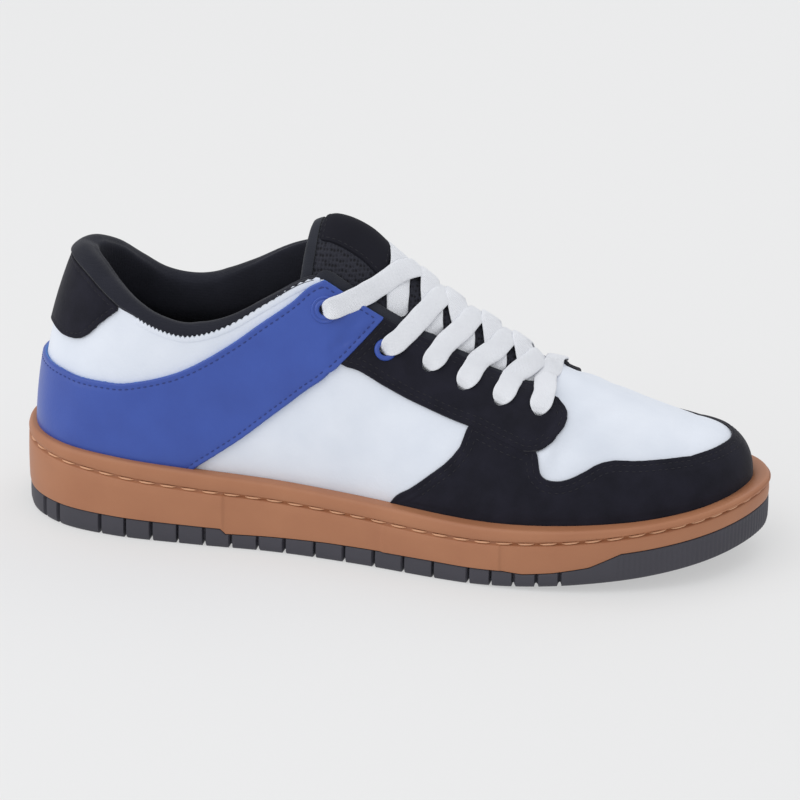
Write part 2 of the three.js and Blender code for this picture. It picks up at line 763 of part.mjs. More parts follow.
// Tongue
const tongueValue = (column, at) => smooth(TONGUE, column, at);
function tonguePoint(at, across, depth) {
  const x = xOf(tongueValue("along", at));
  const half = tongueValue("half", at) * BALL_WIDTH;
  const y = across * half;
  const fall = tongueValue("steep", at) * (Math.hypot(y, TONGUE_ROUNDNESS) - TONGUE_ROUNDNESS);
  const top = vec(x, ridgeY(x) + y, tongueValue("crest", at) * COLLAR_HEIGHT - fall);
  return depth === 0 ? top : top.addScaledVector(tongueNormal(at, across), -depth);
}
function tongueNormal(at, across) {
  const a = Math.min(Math.max(at, 0.02), 0.93);
  const ahead = tonguePoint(a + 0.02, across, 0).sub(tonguePoint(a - 0.02, across, 0));
  const aside = tonguePoint(a, across + 0.02, 0).sub(tonguePoint(a, across - 0.02, 0));
  const normal = ahead.cross(aside).normalize();
  return normal.z < 0 ? normal.negate() : normal;
}
const TONGUE_STEPS = 15;
const TONGUE_ACROSS = [-1, -0.75, -0.5, -0.3, -0.12, 0.12, 0.3, 0.5, 0.75, 1];

function makeTongue() {
  const profiles = [];
  for (let i = 0; i <= TONGUE_STEPS; i += 1) {
    const at = i / TONGUE_STEPS;
    const thick = tongueValue("thick", at) * TONGUE_THICKNESS;
    const rounded = i === TONGUE_STEPS;
    const over = (v) => thick * (Math.abs(v) === 1 ? 0.25 : rounded ? 0.18 : 0);
    const below = (v) => thick * (Math.abs(v) === 1 ? 0.7 : rounded ? 0.55 : 1);
    profiles.push([
      ...TONGUE_ACROSS.map((v) => tonguePoint(at, v, over(v))),
      ...[...TONGUE_ACROSS].reverse().map((v) => tonguePoint(at, v, below(v))),
    ]);
  }
  return loft(profiles, { looped: true, capped: true });
}

function makeTongueLabel() {
  const profiles = [];
  for (const i of [11, 12, 13, 14]) {
    const at = i / TONGUE_STEPS;
    const across = TONGUE_ACROSS.slice(2, 7);
    profiles.push([
      ...across.map((v) => tonguePoint(at, v, -GAP)),
      ...across.reverse().map((v) => tonguePoint(at, v, -GAP - LABEL_THICKNESS)),
    ]);
  }
  return loft(profiles, { looped: true, capped: true });
}

// Lace
// A place of the lace's middle line, and the direction that points out of the shoe there.
const LACE_LOW = GAP + LACE_EASE + LACE_THICKNESS / 2;
const OVER_OVERLAY = OVERLAY_SEAT + OVERLAY_THICKNESS + LACE_EASE + LACE_THICKNESS / 2;
function onUpper(side, station, rise, height) {
  return { point: skin(side * station, rise, height), up: ribNormal(side * station, Math.min(rise, 0.97)) };
}
function onTongue(at, across, height) {
  return { point: tonguePoint(at, across, -height), up: tongueNormal(at, across) };
}

// The tongue's own share at a place along the shoe.
function tongueAt(along) {
  let low = 0;
  let high = 1;
  for (let i = 0; i < 24; i += 1) {
    const middle = (low + high) / 2;
    if (tongueValue("along", middle) > along) low = middle;
    else high = middle;
  }
  return low;
}

// From an eyelet to the edge of its eyestay, over the eyelet's ring where it has one.
function fromEyelet(side, k, station, extra = 0) {
  const { at, rise } = EYELETS[k];
  const ring = k < RINGED_EYELETS ? 2 * EYELET_WIRE + GAP : 0;
  const between = (share) => at + share * (station - at);
  return [
    onUpper(side, at, rise, OVER_OVERLAY + ring),
    onUpper(side, between(0.4), rise + 0.4 * (0.985 - rise), OVER_OVERLAY + ring + extra / 2),
    onUpper(side, station, 0.985, OVER_OVERLAY + 0.8 + extra),
  ];
}

// A flat strip through a few places.
function makeStrip(places) {
  const last = places.length - 1;
  const profiles = places.map(({ point, up }, i) => {
    const ahead = places[Math.min(i + 1, last)].point;
    const behind = places[Math.max(i - 1, 0)].point;
    const way = ahead.clone().sub(behind).normalize();
    const side = new THREE.Vector3().crossVectors(way, up).normalize();
    const top = new THREE.Vector3().crossVectors(side, way).normalize();
    const place = (a, b) => point.clone().addScaledVector(side, a).addScaledVector(top, b);
    const w = LACE_WIDTH / 2;
    const t = LACE_THICKNESS / 2;
    return [place(-w, -t), place(w, -t), place(w, t), place(-w, t)];
  });
  return loft(profiles, { looped: true, capped: true }).solid();
}

// The bar between the lowest eyelets, and five crossings, each with one strip over the other.
function makeLace() {
  const last = EYELETS.length - 1;
  const lowest = EYELETS[last].at;
  const barAt = tongueAt(EYELETS[last].cross);
  const level = ({ point, up }) => ({ point, up: mix(up, vec(0, 0, 1), 0.6).normalize() });
  const barHeight = LACE_LOW + 2 * LACE_THICKNESS;
  const middle = [-0.3, 0, 0.3].map((across) => level(onTongue(barAt, across, barHeight)));
  const ends = [-1, 1].map((side) => fromEyelet(side, last, lowest, 0.8 * LACE_THICKNESS));
  const bar = [...ends[0], ...middle, ...ends[1].reverse()];
  const strips = [makeStrip(bar)];
  for (let k = 0; k < last; k += 1) {
    const here = EYELETS[k].at;
    const next = EYELETS[k + 1].at;
    const cross = tongueAt(EYELETS[k].cross);
    for (const side of [-1, 1]) {
      // The lowest crossing is pulled tighter, as the throat narrows there.
      const over = side < 0 ? (k < last - 1 ? 0.8 : 0.65) * LACE_THICKNESS : 0;
      const places = fromEyelet(side, k, here + 0.45 * (next - here));
      for (const across of [0.42, 0.21, 0, -0.21, -0.42]) {
        const height = LACE_LOW + over * Math.max(0, 1 - Math.abs(across) * 2);
        places.push(onTongue(cross + 0.1 * across, side * across, height));
      }
      const edge = onUpper(-side, next, 0.985, OVER_OVERLAY);
      const flank = places[places.length - 1];
      const diving = { point: mix(flank.point, edge.point, 0.27), up: mix(flank.up, edge.up, 0.5) };
      if (k < last - 1) places.push(diving);
      else flank.point.z += 1.3 * LACE_THICKNESS;
      strips.push(makeStrip(places));
    }
  }
  return strips.reduce((whole, strip) => whole.add(strip));
}

function makeEyelet(side, k) {
  const ring = new THREE.TorusGeometry(EYELET_RADIUS, EYELET_WIRE, 4, 12);
  const { at, rise } = EYELETS[k];
  const height = OVERLAY_SEAT + OVERLAY_THICKNESS + GAP + EYELET_WIRE;
  const place = skin(side * at, rise, height);
  const turn = new THREE.Quaternion().setFromUnitVectors(vec(0, 0, 1), ribNormal(side * at, rise));
  ring.applyQuaternion(turn);
  ring.translate(place.x, place.y, place.z);
  return ring;
}

// Meshes
function geometryOf(solid) {
  const mesh = solid.getMesh();
  const geometry = new THREE.BufferGeometry();
  const points = [];
  for (let i = 0; i < mesh.vertProperties.length; i += mesh.numProp) {
    points.push(mesh.vertProperties[i], mesh.vertProperties[i + 1], mesh.vertProperties[i + 2]);
  }
  geometry.setAttribute("position", new THREE.Float32BufferAttribute(points, 3));
  geometry.setIndex([...mesh.triVerts]);
  geometry.computeVertexNormals();
  return geometry;
}

const FINISH = {
  gum_rubber: { color: 0xa9714f, roughness: 0.55 },
  tread_rubber: { color: 0x3b3942, roughness: 0.7 },
  white_leather: { color: 0xdde0ea, roughness: 0.5 },
  black_nubuck: { color: 0x25232c, roughness: 0.9 },
  blue_leather: { color: 0x3553a8, roughness: 0.4 },
  knit: { color: 0x34353e, roughness: 1 },
  lace: { color: 0xe3e5f0, roughness: 0.9 },
  board: { color: 0x55565e, roughness: 0.95 },
};
const shoe = new THREE.Group();
function add(name, form, finish) {
  const geometry = form instanceof THREE.BufferGeometry ? form : geometryOf(form.solid ? form.solid() : form);
  const material = new THREE.MeshStandardMaterial({ ...FINISH[finish], metalness: 0 });
  const mesh = new THREE.Mesh(geometry, material);
  mesh.name = name;
  shoe.add(mesh);
}

add("outsole", makeOutsole(), "tread_rubber");
add("midsole", makeMidsole(), "gum_rubber");
add("insole", makeInsole(), "board");
add("upper", makeUpper(), "white_leather");
add("mudguard", makeMudguard(), "black_nubuck");
add("eyestay_outer", makeEyestay(-1), "black_nubuck");
add("eyestay_inner", makeEyestay(1), "black_nubuck");
add("heel_band", makeHeelBand(), "blue_leather");
add("heel_tab", makeHeelTab(), "black_nubuck");
add("collar_padding", makeCollarPadding(), "knit");
add("tongue", makeTongue(), "knit");
add("tongue_label", makeTongueLabel(), "black_nubuck");
add("lace", makeLace(), "lace");
for (let k = 0; k < RINGED_EYELETS; k += 1) {
  add(`eyelet_outer_${k + 1}`, makeEyelet(-1, k), "blue_leather");
  add(`eyelet_inner_${k + 1}`, makeEyelet(1, k), "blue_leather");
}

export default shoe;
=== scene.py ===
# %% [markdown]
# # A low leather sneaker on a stitched cup sole
# The real thing is the right shoe of a pair, about 300 mm long outside, standing empty on its sole. A shoemaker
# pulls flat panels over a last, sews overlays on them, and stitches the upper down into a rubber cup.
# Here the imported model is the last: every surface below is worked out from the same short tables as its solids,
# only finer, so that each piece lies where its plain solid lies.

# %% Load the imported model
import math

import bmesh
import bpy
import numpy as np
from mathutils import Matrix, Vector
from mathutils.kdtree import KDTree


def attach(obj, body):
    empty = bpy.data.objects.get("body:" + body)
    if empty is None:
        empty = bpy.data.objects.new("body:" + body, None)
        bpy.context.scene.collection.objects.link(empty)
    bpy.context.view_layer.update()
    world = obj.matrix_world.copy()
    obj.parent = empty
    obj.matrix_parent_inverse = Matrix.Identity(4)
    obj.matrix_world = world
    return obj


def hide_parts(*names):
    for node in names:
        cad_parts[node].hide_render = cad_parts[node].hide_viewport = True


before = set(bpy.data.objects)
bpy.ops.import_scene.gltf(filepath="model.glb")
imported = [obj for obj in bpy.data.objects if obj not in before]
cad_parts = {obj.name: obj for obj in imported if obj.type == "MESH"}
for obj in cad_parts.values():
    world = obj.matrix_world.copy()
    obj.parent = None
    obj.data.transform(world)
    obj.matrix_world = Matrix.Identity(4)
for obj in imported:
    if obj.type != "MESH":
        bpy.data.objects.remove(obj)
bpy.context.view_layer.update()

# %% [markdown]
# ## Camera, floor and light
# The photograph is a catalogue picture: the shoe's outer side, seen a little from the front and from above,
# through a long lens, on a pale seamless floor in very even light. A long lens far away keeps the sides nearly
# parallel. The floor is one big plane, because the camera looks down steeply enough never to see its end. The
# light is mostly a white room, with two large soft panels that give the leather its slow highlights.

# %% The camera at the photograph's angle
TURN = math.radians(11.4)
HEIGHT = math.radians(22.15)
ROLL = math.radians(1.0)
AIM = Vector((0.112, 0.0, 0.050))
DISTANCE = 1.430

back = Vector((math.sin(TURN) * math.cos(HEIGHT), -math.cos(TURN) * math.cos(HEIGHT), math.sin(HEIGHT)))
level = Vector((math.cos(TURN), math.sin(TURN), 0))
above = back.cross(level)
right = level * math.cos(ROLL) + above * math.sin(ROLL)
top = back.cross(right)
camera_data = bpy.data.cameras.new("camera")
camera_data.lens = 162
camera_data.sensor_width = 36
camera_data.shift_x = 5.52 / 800
camera_data.shift_y = 5.93 / 800
camera_data.clip_start = 0.05
camera_data.clip_end = 30
camera = bpy.data.objects.new("camera", camera_data)
bpy.context.collection.objects.link(camera)
turned = Matrix((right, top, back)).transposed().to_4x4()
camera.matrix_world = Matrix.Translation(AIM + DISTANCE * back) @ turned
bpy.context.scene.camera = camera
print("camera at", [round(v, 3) for v in camera.location], "lens", camera_data.lens)

# %% The floor and the light
FLOOR_SIZE = 12.0
floor_mesh = bpy.data.meshes.new("studio_floor")
half_floor = FLOOR_SIZE / 2
floor_corners = [(-half_floor, -half_floor, 0), (half_floor, -half_floor, 0),
                 (half_floor, half_floor, 0), (-half_floor, half_floor, 0)]
floor_mesh.from_pydata(floor_corners, [], [(0, 1, 2, 3)])
studio_floor = bpy.data.objects.new("studio_floor", floor_mesh)
bpy.context.collection.objects.link(studio_floor)

world = bpy.data.worlds.new("white_room")
world.use_nodes = True
world.node_tree.nodes["Background"].inputs["Color"].default_value = (0.98, 0.99, 1.0, 1)
world.node_tree.nodes["Background"].inputs["Strength"].default_value = 0.78
bpy.context.scene.world = world
bpy.context.scene.view_settings.view_transform = "Standard"


def soft_panel(name, place, size, watts):
    """A large square light that looks at the shoe."""
    data = bpy.data.lights.new(name, "AREA")
    data.size = size
    data.energy = watts
    lamp = bpy.data.objects.new(name, data)
    lamp.location = place
    lamp.rotation_mode = "QUATERNION"
    lamp.rotation_quaternion = (Vector(place) - AIM).to_track_quat("Z", "Y")
    bpy.context.collection.objects.link(lamp)
    return lamp


soft_panel("panel_over", (-0.45, -0.85, 1.7), 1.6, 7.5)
soft_panel("panel_heel", (-1.5, -0.9, 0.8), 1.3, 7)
soft_panel("panel_behind", (0.7, 1.2, 1.3), 1.2, 4)

# %% [markdown]
# ## The last: sizes and tables
# A pattern maker draws on the last in its own coordinates. Here a place on the upper is a station and a rise.
# The station runs along the sole's outline, from the middle of the heel (0) to the toe's tip (1), minus on the
# outer side. The rise runs up a rib of the upper, from the sole's floor (0) to the edge of the opening (1). The
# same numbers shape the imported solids, so nothing has to be fitted afterwards.

# %% Sizes in millimetres
MM = 0.001
LENGTH = 300.0
BALL_WIDTH = 108.0
HEEL_BACK = 38.0
COLLAR_HEIGHT = 110.0
SOLE_HEIGHT = 35.0
TOE_SPRING = 12.0
UPPER_WALL = 1.8
INSOLE_THICKNESS = 4.0
TREAD_PLATE = 4.2
BUMPER_WIDTH = 3.4
GAP = 0.3


def table(columns, rows):
    """A short table: named columns, and a row for each section."""
    return {name: np.array([row[i] for row in rows], float) for i, name in enumerate(columns)}


OUTLINE = table(["along", "across"], [
    (0, 0), (0.022, -0.205), (0.072, -0.33), (0.15, -0.388), (0.26, -0.396), (0.37, -0.39), (0.48, -0.42),
    (0.6, -0.476), (0.69, -0.497), (0.78, -0.472), (0.87, -0.395), (0.94, -0.262), (0.985, -0.085),
    (1, 0.075), (0.982, 0.235), (0.93, 0.37), (0.85, 0.46), (0.76, 0.503), (0.66, 0.492), (0.56, 0.44),
    (0.46, 0.385), (0.35, 0.355), (0.24, 0.362), (0.14, 0.362), (0.066, 0.31), (0.02, 0.19)])
TOE_ROW = 13
SIDE = table(["at", "top", "channel", "floor"], [
    (0, 1, 0.87, 0.486), (0.1, 0.975, 0.79, 0.478), (0.22, 0.914, 0.7, 0.462), (0.4, 0.817, 0.62, 0.395),
    (0.6, 0.723, 0.535, 0.31), (0.75, 0.663, 0.517, 0.277), (0.88, 0.615, 0.525, 0.285),
    (1, 0.589, 0.52, 0.3)])
TREAD_TOP = table(["at", "top"], [
    (0, 0.275), (0.27, 0.235), (0.318, 0.23), (0.324, 0.165), (0.44, 0.2), (0.56, 0.21), (0.64, 0.19),
    (0.667, 0.15), (0.7, 0.16), (0.74, 0.2), (0.775, 0.325), (1, 0.325)])
WALL_STEPS = (0.321, 0.505, 0.642)
OUTER_COLLAR = table(["at", "along", "half", "height"], [
    (0, 0.0667, 0, 0.95), (0.05, 0.0783, 0.102, 0.953), (0.1, 0.105, 0.19, 0.93),
    (0.15, 0.138, 0.255, 0.877), (0.2, 0.177, 0.292, 0.812), (0.25, 0.215, 0.306, 0.773),
    (0.29, 0.25, 0.306, 0.764), (0.34, 0.297, 0.294, 0.809), (0.39, 0.353, 0.267, 0.909),
    (0.42, 0.393, 0.243, 0.978), (0.44, 0.4217, 0.227, 1.004)])
INNER_COLLAR = table(["at", "along", "half", "height"], [
    (0, 0.0667, 0, 0.95), (0.05, 0.0783, 0.102, 0.939), (0.1, 0.1033, 0.19, 0.896),
    (0.15, 0.1317, 0.255, 0.827), (0.2, 0.1633, 0.292, 0.771), (0.25, 0.2033, 0.306, 0.753),
    (0.29, 0.24, 0.304, 0.773), (0.34, 0.2867, 0.287, 0.842), (0.39, 0.34, 0.264, 0.935),
    (0.42, 0.3867, 0.243, 0.987), (0.44, 0.4183, 0.227, 1.009)])
THROAT = table(["at", "along", "half", "height"], [
    (0.44, 0.42, 0.227, 1.006), (0.5, 0.4967, 0.181, 0.86), (0.56, 0.5633, 0.157, 0.769),
    (0.62, 0.63, 0.143, 0.684), (0.66, 0.68, 0.128, 0.634), (0.68, 0.703, 0.092, 0.628),
    (0.693, 0.713, 0.044, 0.638), (0.7, 0.715, 0, 0.644)])
RIDGE = table(["at", "along", "half", "height"], [
    (0.7, 0.715, 0, 0.644), (0.74, 0.762, 0, 0.598), (0.78, 0.81, 0, 0.549), (0.82, 0.8517, 0, 0.511),
    (0.86, 0.8933, 0, 0.478)])
COLLAR_END, THROAT_END, RIDGE_END = 0.44, 0.7, 0.86
RIDGE_RUN = table(["at", "across"], [(0, 0), (0.33, 0), (0.63, 0.014), (1, 0.07)])
RIBS = table(["at", "inset", "rise", "swell", "reach", "drop"], [
    (0, 0.16, 0.34, 0.074, 0.72, 0.3), (0.12, 0.172, 0.36, 0.086, 0.5, 0.3),
    (0.25, 0.186, 0.42, 0.086, 0.4, 0.28), (0.36, 0.191, 0.5, 0.043, 0.42, 0.3),
    (0.46, 0.195, 0.55, 0.029, 0.5, 0.26), (0.58, 0.2, 0.55, 0.043, 0.5, 0.18),
    (0.7, 0.21, 0.58, 0.063, 0.58, 0.05), (0.82, 0.222, 0.62, 0.086, 0.66, 0.02),
    (0.92, 0.24, 0.68, 0.097, 0.78, 0.05), (1, 0.263, 0.72, 0.103, 0.84, 0.12)])
print("sole", LENGTH, "x", BALL_WIDTH, "mm, collar", COLLAR_HEIGHT, "mm")

# %% [markdown]
# ## The last: the surface itself
# Each rib is a Bezier curve with four control points, and its points change smoothly from station to station.
# NumPy works out thousands of points in one call, which is why every function here takes whole arrays.

# %% Smooth values from the tables
def hermite(t, start, end, leaving, arriving):
    u = 1 - t
    return (1 + 2 * t) * u * u * start + t * u * u * leaving + t * t * (3 - 2 * t) * end - t * t * u * arriving


def between(keys, at):
    """Row number, run to the next row and share of that run at each place."""
    here = np.clip(at, keys[0], keys[-1])
    row = np.clip(np.searchsorted(keys, here, side="right") - 1, 0, len(keys) - 2)
    run = keys[row + 1] - keys[row]
    return row, run, (here - keys[row]) / run


def smooth(rows, column, at, level_start=False, level_end=False):
    keys, values = rows["at"], rows[column]
    slope = np.empty_like(values)
    slope[1:-1] = (values[2:] - values[:-2]) / (keys[2:] - keys[:-2])
    slope[0] = 0 if level_start else (values[1] - values[0]) / (keys[1] - keys[0])
    slope[-1] = 0 if level_end else (values[-1] - values[-2]) / (keys[-1] - keys[-2])
    row, run, t = between(keys, at)
    return hermite(t, values[row], values[row + 1], run * slope[row], run * slope[row + 1])


def steady(rows, column, at):
    """As smooth, but it never swings past the values of its rows, so a cut edge has no waves."""
    keys, values = rows["at"], rows[column]
    steps = np.diff(values) / np.diff(keys)
    slope = np.zeros_like(values)
    same_way = steps[1:] * steps[:-1] > 0
    mean = 2 * steps[1:] * steps[:-1] / np.where(same_way, steps[1:] + steps[:-1], 1)
    slope[1:-1] = np.where(same_way, mean, 0)
    slope[0], slope[-1] = steps[0], steps[-1]
    row, run, t = between(keys, at)
    return hermite(t, values[row], values[row + 1], run * slope[row], run * slope[row + 1])


def unit(v):
    return v / np.maximum(np.linalg.norm(v, axis=-1, keepdims=True), 1e-9)


def along_of(x):
    return (x + HEEL_BACK) / LENGTH


def x_of(along):
    return along * LENGTH - HEEL_BACK


# %% The sole's outline
def outline_ring(fine=48):
    """The closed outline as close points, by the centripetal rule, which never overshoots a bend."""
    knots = np.stack([x_of(OUTLINE["along"]), OUTLINE["across"] * BALL_WIDTH], 1)
    t = np.arange(fine)[:, None] / fine
    ring = []
    for k in range(len(knots)):
        before, start, end, after = (knots[(k + j) % len(knots)] for j in (-1, 0, 1, 2))
        a, b, c = (math.sqrt(np.linalg.norm(q - p)) for p, q in ((before, start), (start, end), (end, after)))
        leaving = b * ((start - before) / a - (end - before) / (a + b) + (end - start) / b)
        arriving = b * ((end - start) / b - (after - start) / (b + c) + (after - end) / c)
        ring.append(hermite(t, start, end, leaving, arriving))
    return np.concatenate(ring)


RING_FINE = 48
ring = outline_ring(RING_FINE)
ring_way = np.roll(ring, -1, 0) - np.roll(ring, 1, 0)
ring_out = unit(np.stack([ring_way[:, 1], -ring_way[:, 0]], 1))
if ring_out[0, 0] > 0:
    ring_out = -ring_out
ring_rows = np.concatenate([ring, ring_out], 1)
toe_point = TOE_ROW * RING_FINE
outer_rows = ring_rows[:toe_point + 1]
inner_rows = np.concatenate([ring_rows[toe_point:], ring_rows[:1]])[::-1]


def arc_shares(rows):
    run = np.r_[0, np.cumsum(np.linalg.norm(np.diff(rows[:, :2], axis=0), axis=1))]
    return run / run[-1], run[-1]


outer_share, outer_length = arc_shares(outer_rows)
inner_share, inner_length = arc_shares(inner_rows)
SIDE_LENGTH = (outer_length + inner_length) / 2
print("half of the outline is", round(SIDE_LENGTH, 1), "mm")


def station_of(run):
    """A run may pass the toe's tip: below -1 it goes on along the inner side."""
    return np.where(run < -1, run + 2, np.where(run > 1, run - 2, run))


def outline_at(run):
    station = station_of(np.asarray(run, float))
    share = np.abs(station)
    columns = [np.where(station < 0, np.interp(share, outer_share, outer_rows[:, c]),
                        np.interp(share, inner_share, inner_rows[:, c])) for c in range(4)]
    return np.stack(columns[:2], -1), unit(np.stack(columns[2:], -1))


# %% Heights of the sole, the opening's edge and the ribs
def lift(along):
    return TOE_SPRING * np.maximum(0, (along - 0.62) / 0.38) ** 1.5


def ground(x):
    return lift(np.maximum(along_of(x), 0))


def side_height(column, x):
    along = np.clip(along_of(x), 0, 1)
    return smooth(SIDE, column, along) * SOLE_HEIGHT + lift(along)


def tread_top(run, x):
    at = np.abs(station_of(run))
    return np.interp(at, TREAD_TOP["at"], TREAD_TOP["top"]) * SOLE_HEIGHT + ground(x)


def ridge_y(x):
    return smooth(RIDGE_RUN, "across", along_of(x), level_start=True) * BALL_WIDTH


def edge_at(run):
    """The opening's edge, and past the throat the ridge where both halves of the vamp meet."""
    station = station_of(np.asarray(run, float))
    at = np.minimum(np.abs(station), RIDGE_END)
    values = {}
    for column in ("along", "half", "height"):
        round_heel = column != "half"
        outer = smooth(OUTER_COLLAR, column, at, level_start=round_heel)
        inner = smooth(INNER_COLLAR, column, at, level_start=round_heel)
        throat = smooth(THROAT, column, at, level_end=column == "along")
        ridge = smooth(RIDGE, column, at)
        collar = np.where(station < 0, outer, inner)
        values[column] = np.where(at < COLLAR_END, collar, np.where(at < THROAT_END, throat, ridge))
    x = x_of(values["along"])
    side = np.where(station < 0, -1.0, 1.0)
    y = ridge_y(x) + side * values["half"] * BALL_WIDTH
    return np.stack([x, y, values["height"] * COLLAR_HEIGHT], -1)


def rib_point(run, rise):
    run, rise = np.broadcast_arrays(np.asarray(run, float), np.asarray(rise, float))
    at = np.abs(station_of(run))
    inset, lower_rise, swell, reach, drop = (
        smooth(RIBS, column, at, True, True) for column in ("inset", "rise", "swell", "reach", "drop"))
    point, out = outline_at(run)
    foot_xy = point - out * (inset * SOLE_HEIGHT)[..., None]
    foot = np.concatenate([foot_xy, side_height("floor", foot_xy[..., 0])[..., None]], -1)
    edge = edge_at(run)
    height = edge[..., 2] - foot[..., 2]
    lower = foot.copy()
    lower[..., :2] += out * (swell * SOLE_HEIGHT)[..., None]
    lower[..., 2] += lower_rise * height
    upper = edge + reach[..., None] * (foot - edge)
    upper[..., 2] = edge[..., 2] - drop * height
    t = rise[..., None]
    u = 1 - t
    return u ** 3 * foot + 3 * t * u * u * lower + 3 * t * t * u * upper + t ** 3 * edge


STEP_RUN, STEP_RISE = 0.003, 0.01


def rib_ways(run, rise):
    """How a place on the last moves with its station and with its rise."""
    rise = np.clip(rise, STEP_RISE, 0.985)
    ahead = (rib_point(run + STEP_RUN, rise) - rib_point(run - STEP_RUN, rise)) / (2 * STEP_RUN)
    climb = (rib_point(run, rise + STEP_RISE) - rib_point(run, rise - STEP_RISE)) / (2 * STEP_RISE)
    return ahead, climb


def rib_normal(run, rise):
    run, rise = np.broadcast_arrays(np.asarray(run, float), np.asarray(rise, float))
    own = -unit(np.cross(*rib_ways(run, rise)))
    other = -unit(np.cross(*rib_ways(-run, rise)))
    near_ridge = np.clip((rise - 0.85) / 0.15, 0, 1) * (np.abs(station_of(run)) > THROAT_END)
    share = (0.5 * near_ridge * near_ridge * (3 - 2 * near_ridge))[..., None]
    return unit(own * (1 - share) + other * share)


# %% [markdown]
# ## Creases
# A new shoe still shows where it was pulled over the last and where it will bend: shallow troughs across the
# vamp behind the toe box, a soft hollow under the ankle and puckers where the strap is laced tight. They could be
# sculpted, but then panels and stitches wouldn't follow. So they are a relief of the last itself, and each piece
# made on it bends with them.

# %% Soft troughs and ridges
CREASE_LIFT = 90.0
CREASES = table(["run", "rise", "to_run", "to_rise", "width", "depth"], [
    (-0.655, 0.42, -0.735, 0.93, 4.2, 0.42),
    (-0.69, 0.38, -0.765, 0.86, 3.8, 0.34),
    (-0.635, 0.3, -0.69, 0.62, 3.2, 0.26),
    (0.66, 0.42, 0.735, 0.93, 4.2, 0.42),
    (0.695, 0.38, 0.765, 0.86, 3.8, 0.32),
    (-0.455, 0.72, -0.475, 0.93, 1.5, 0.3),
    (-0.445, 0.66, -0.487, 0.88, 1.3, 0.22),
    (0.455, 0.72, 0.475, 0.93, 1.5, 0.3),
    (-0.3, 0.5, -0.4, 0.42, 9, 0.5),
    (0.3, 0.5, 0.4, 0.42, 9, 0.5),
    (-0.12, 0.36, -0.2, 0.3, 7, 0.3),
    (0.12, 0.36, 0.2, 0.3, 7, 0.3)])


def relief(run, rise):
    """Height of the creases at a place, in millimetres."""
    run, rise = np.broadcast_arrays(np.asarray(run, float), np.asarray(rise, float))
    here = np.stack([station_of(run) * SIDE_LENGTH, rise * CREASE_LIFT], -1)
    total = np.zeros(run.shape)
    for k in range(len(CREASES["run"])):
        start = np.array([CREASES["run"][k] * SIDE_LENGTH, CREASES["rise"][k] * CREASE_LIFT])
        end = np.array([CREASES["to_run"][k] * SIDE_LENGTH, CREASES["to_rise"][k] * CREASE_LIFT])
        way = end - start
        share = np.clip(((here - start) @ way) / (way @ way), 0, 1)
        away = np.linalg.norm(here - (start + share[..., None] * way), axis=-1) / CREASES["width"][k]
        total += CREASES["depth"][k] * (0.45 * np.exp(-((away - 1.9) ** 2)) - np.exp(-away ** 2))
    return total


def skin(run, rise, distance):
    """A point at a distance outside the last's surface (minus: inside), creases and all."""
    distance = np.asarray(distance, float) + relief(run, rise)
    return rib_point(run, rise) + rib_normal(run, rise) * distance[..., None]


def height_search(run, height):
    """The rise at which each rib passes a height above the floor."""
    low, high = np.zeros(np.shape(run)), np.full(np.shape(run), 0.6)
    for _ in range(22):
        middle = (low + high) / 2
        point = rib_point(run, middle)
        over = point[..., 2] > height(point[..., 0])
        low, high = np.where(over, low, middle), np.where(over, middle, high)
    return high


LIP_RUNS = np.linspace(-1, 1, 801)
LIP_RISES = height_search(LIP_RUNS, lambda x: side_height("top", x))
TUCK_DEPTH = 3.0
TUCK_RISES = height_search(LIP_RUNS, lambda x: side_height("top", x) - TUCK_DEPTH)


def lip_rise(run):
    return np.interp(station_of(run), LIP_RUNS, LIP_RISES)


def tuck_rise(run):
    """Where an overlay's lower edge ends, tucked into the cup."""
    return np.interp(station_of(run), LIP_RUNS, TUCK_RISES)


print("the upper leaves the cup at a rise of", round(float(LIP_RISES.min()), 2), "to", round(float(LIP_RISES.max()), 2))

# %% [markdown]
# ## Mesh helpers
# Most pieces are grids: rows of points that follow a section, closed into a solid. A grid takes its corners from
# one NumPy array, so a whole panel is made in one go, and Blender then only joins corners that meet and shades
# the faces smooth, with a sharp line where two faces meet at a steep angle.

# %% Grids into meshes
def grid_faces(rows, columns, round_rows=False, round_columns=False, first=0):
    r = np.arange(rows if round_rows else rows - 1)[:, None]
    c = np.arange(columns if round_columns else columns - 1)[None, :]
    next_r, next_c = (r + 1) % rows, (c + 1) % columns
    corners = [r * columns + c, next_r * columns + c, next_r * columns + next_c, r * columns + next_c]
    return np.stack(np.broadcast_arrays(*corners), -1).reshape(-1, 4) + first


def make_piece(name, points, faces, finish, sharp=42, join=0.004):
    """A mesh object from points in millimetres. It rides on the shoe's one body."""
    mesh = bpy.data.meshes.new(name)
    mesh.from_pydata((np.asarray(points).reshape(-1, 3) * MM).tolist(), [], [list(map(int, f)) for f in faces])
    work = bmesh.new()
    work.from_mesh(mesh)
    bmesh.ops.remove_doubles(work, verts=work.verts, dist=join * MM)
    bmesh.ops.dissolve_degenerate(work, edges=work.edges, dist=1e-7)
    bmesh.ops.recalc_face_normals(work, faces=work.faces)
    work.to_mesh(mesh)
    work.free()
    mesh.shade_smooth()
    mesh.set_sharp_from_angle(angle=math.radians(sharp))
    piece = bpy.data.objects.new(name, mesh)
    bpy.context.collection.objects.link(piece)
    piece.data.materials.append(finish)
    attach(piece, "root")
    return piece


def report(piece):
    size = [round(1000 * v, 1) for v in piece.dimensions]
    print(piece.name, "has", len(piece.data.polygons), "faces and measures", size, "mm")


# %% [markdown]
# ## Finishes
# The photograph shows five kinds of surface: smooth leather with a fine grain (white and blue), black nubuck with
# a nap that swallows light, dark knit and spacer mesh, woven cotton, and two rubbers. Each is one principled
# shader with a grain in its bump and a faint unevenness in its colour and roughness. The grain is in object
# space, in metres, so it keeps its size on every piece.

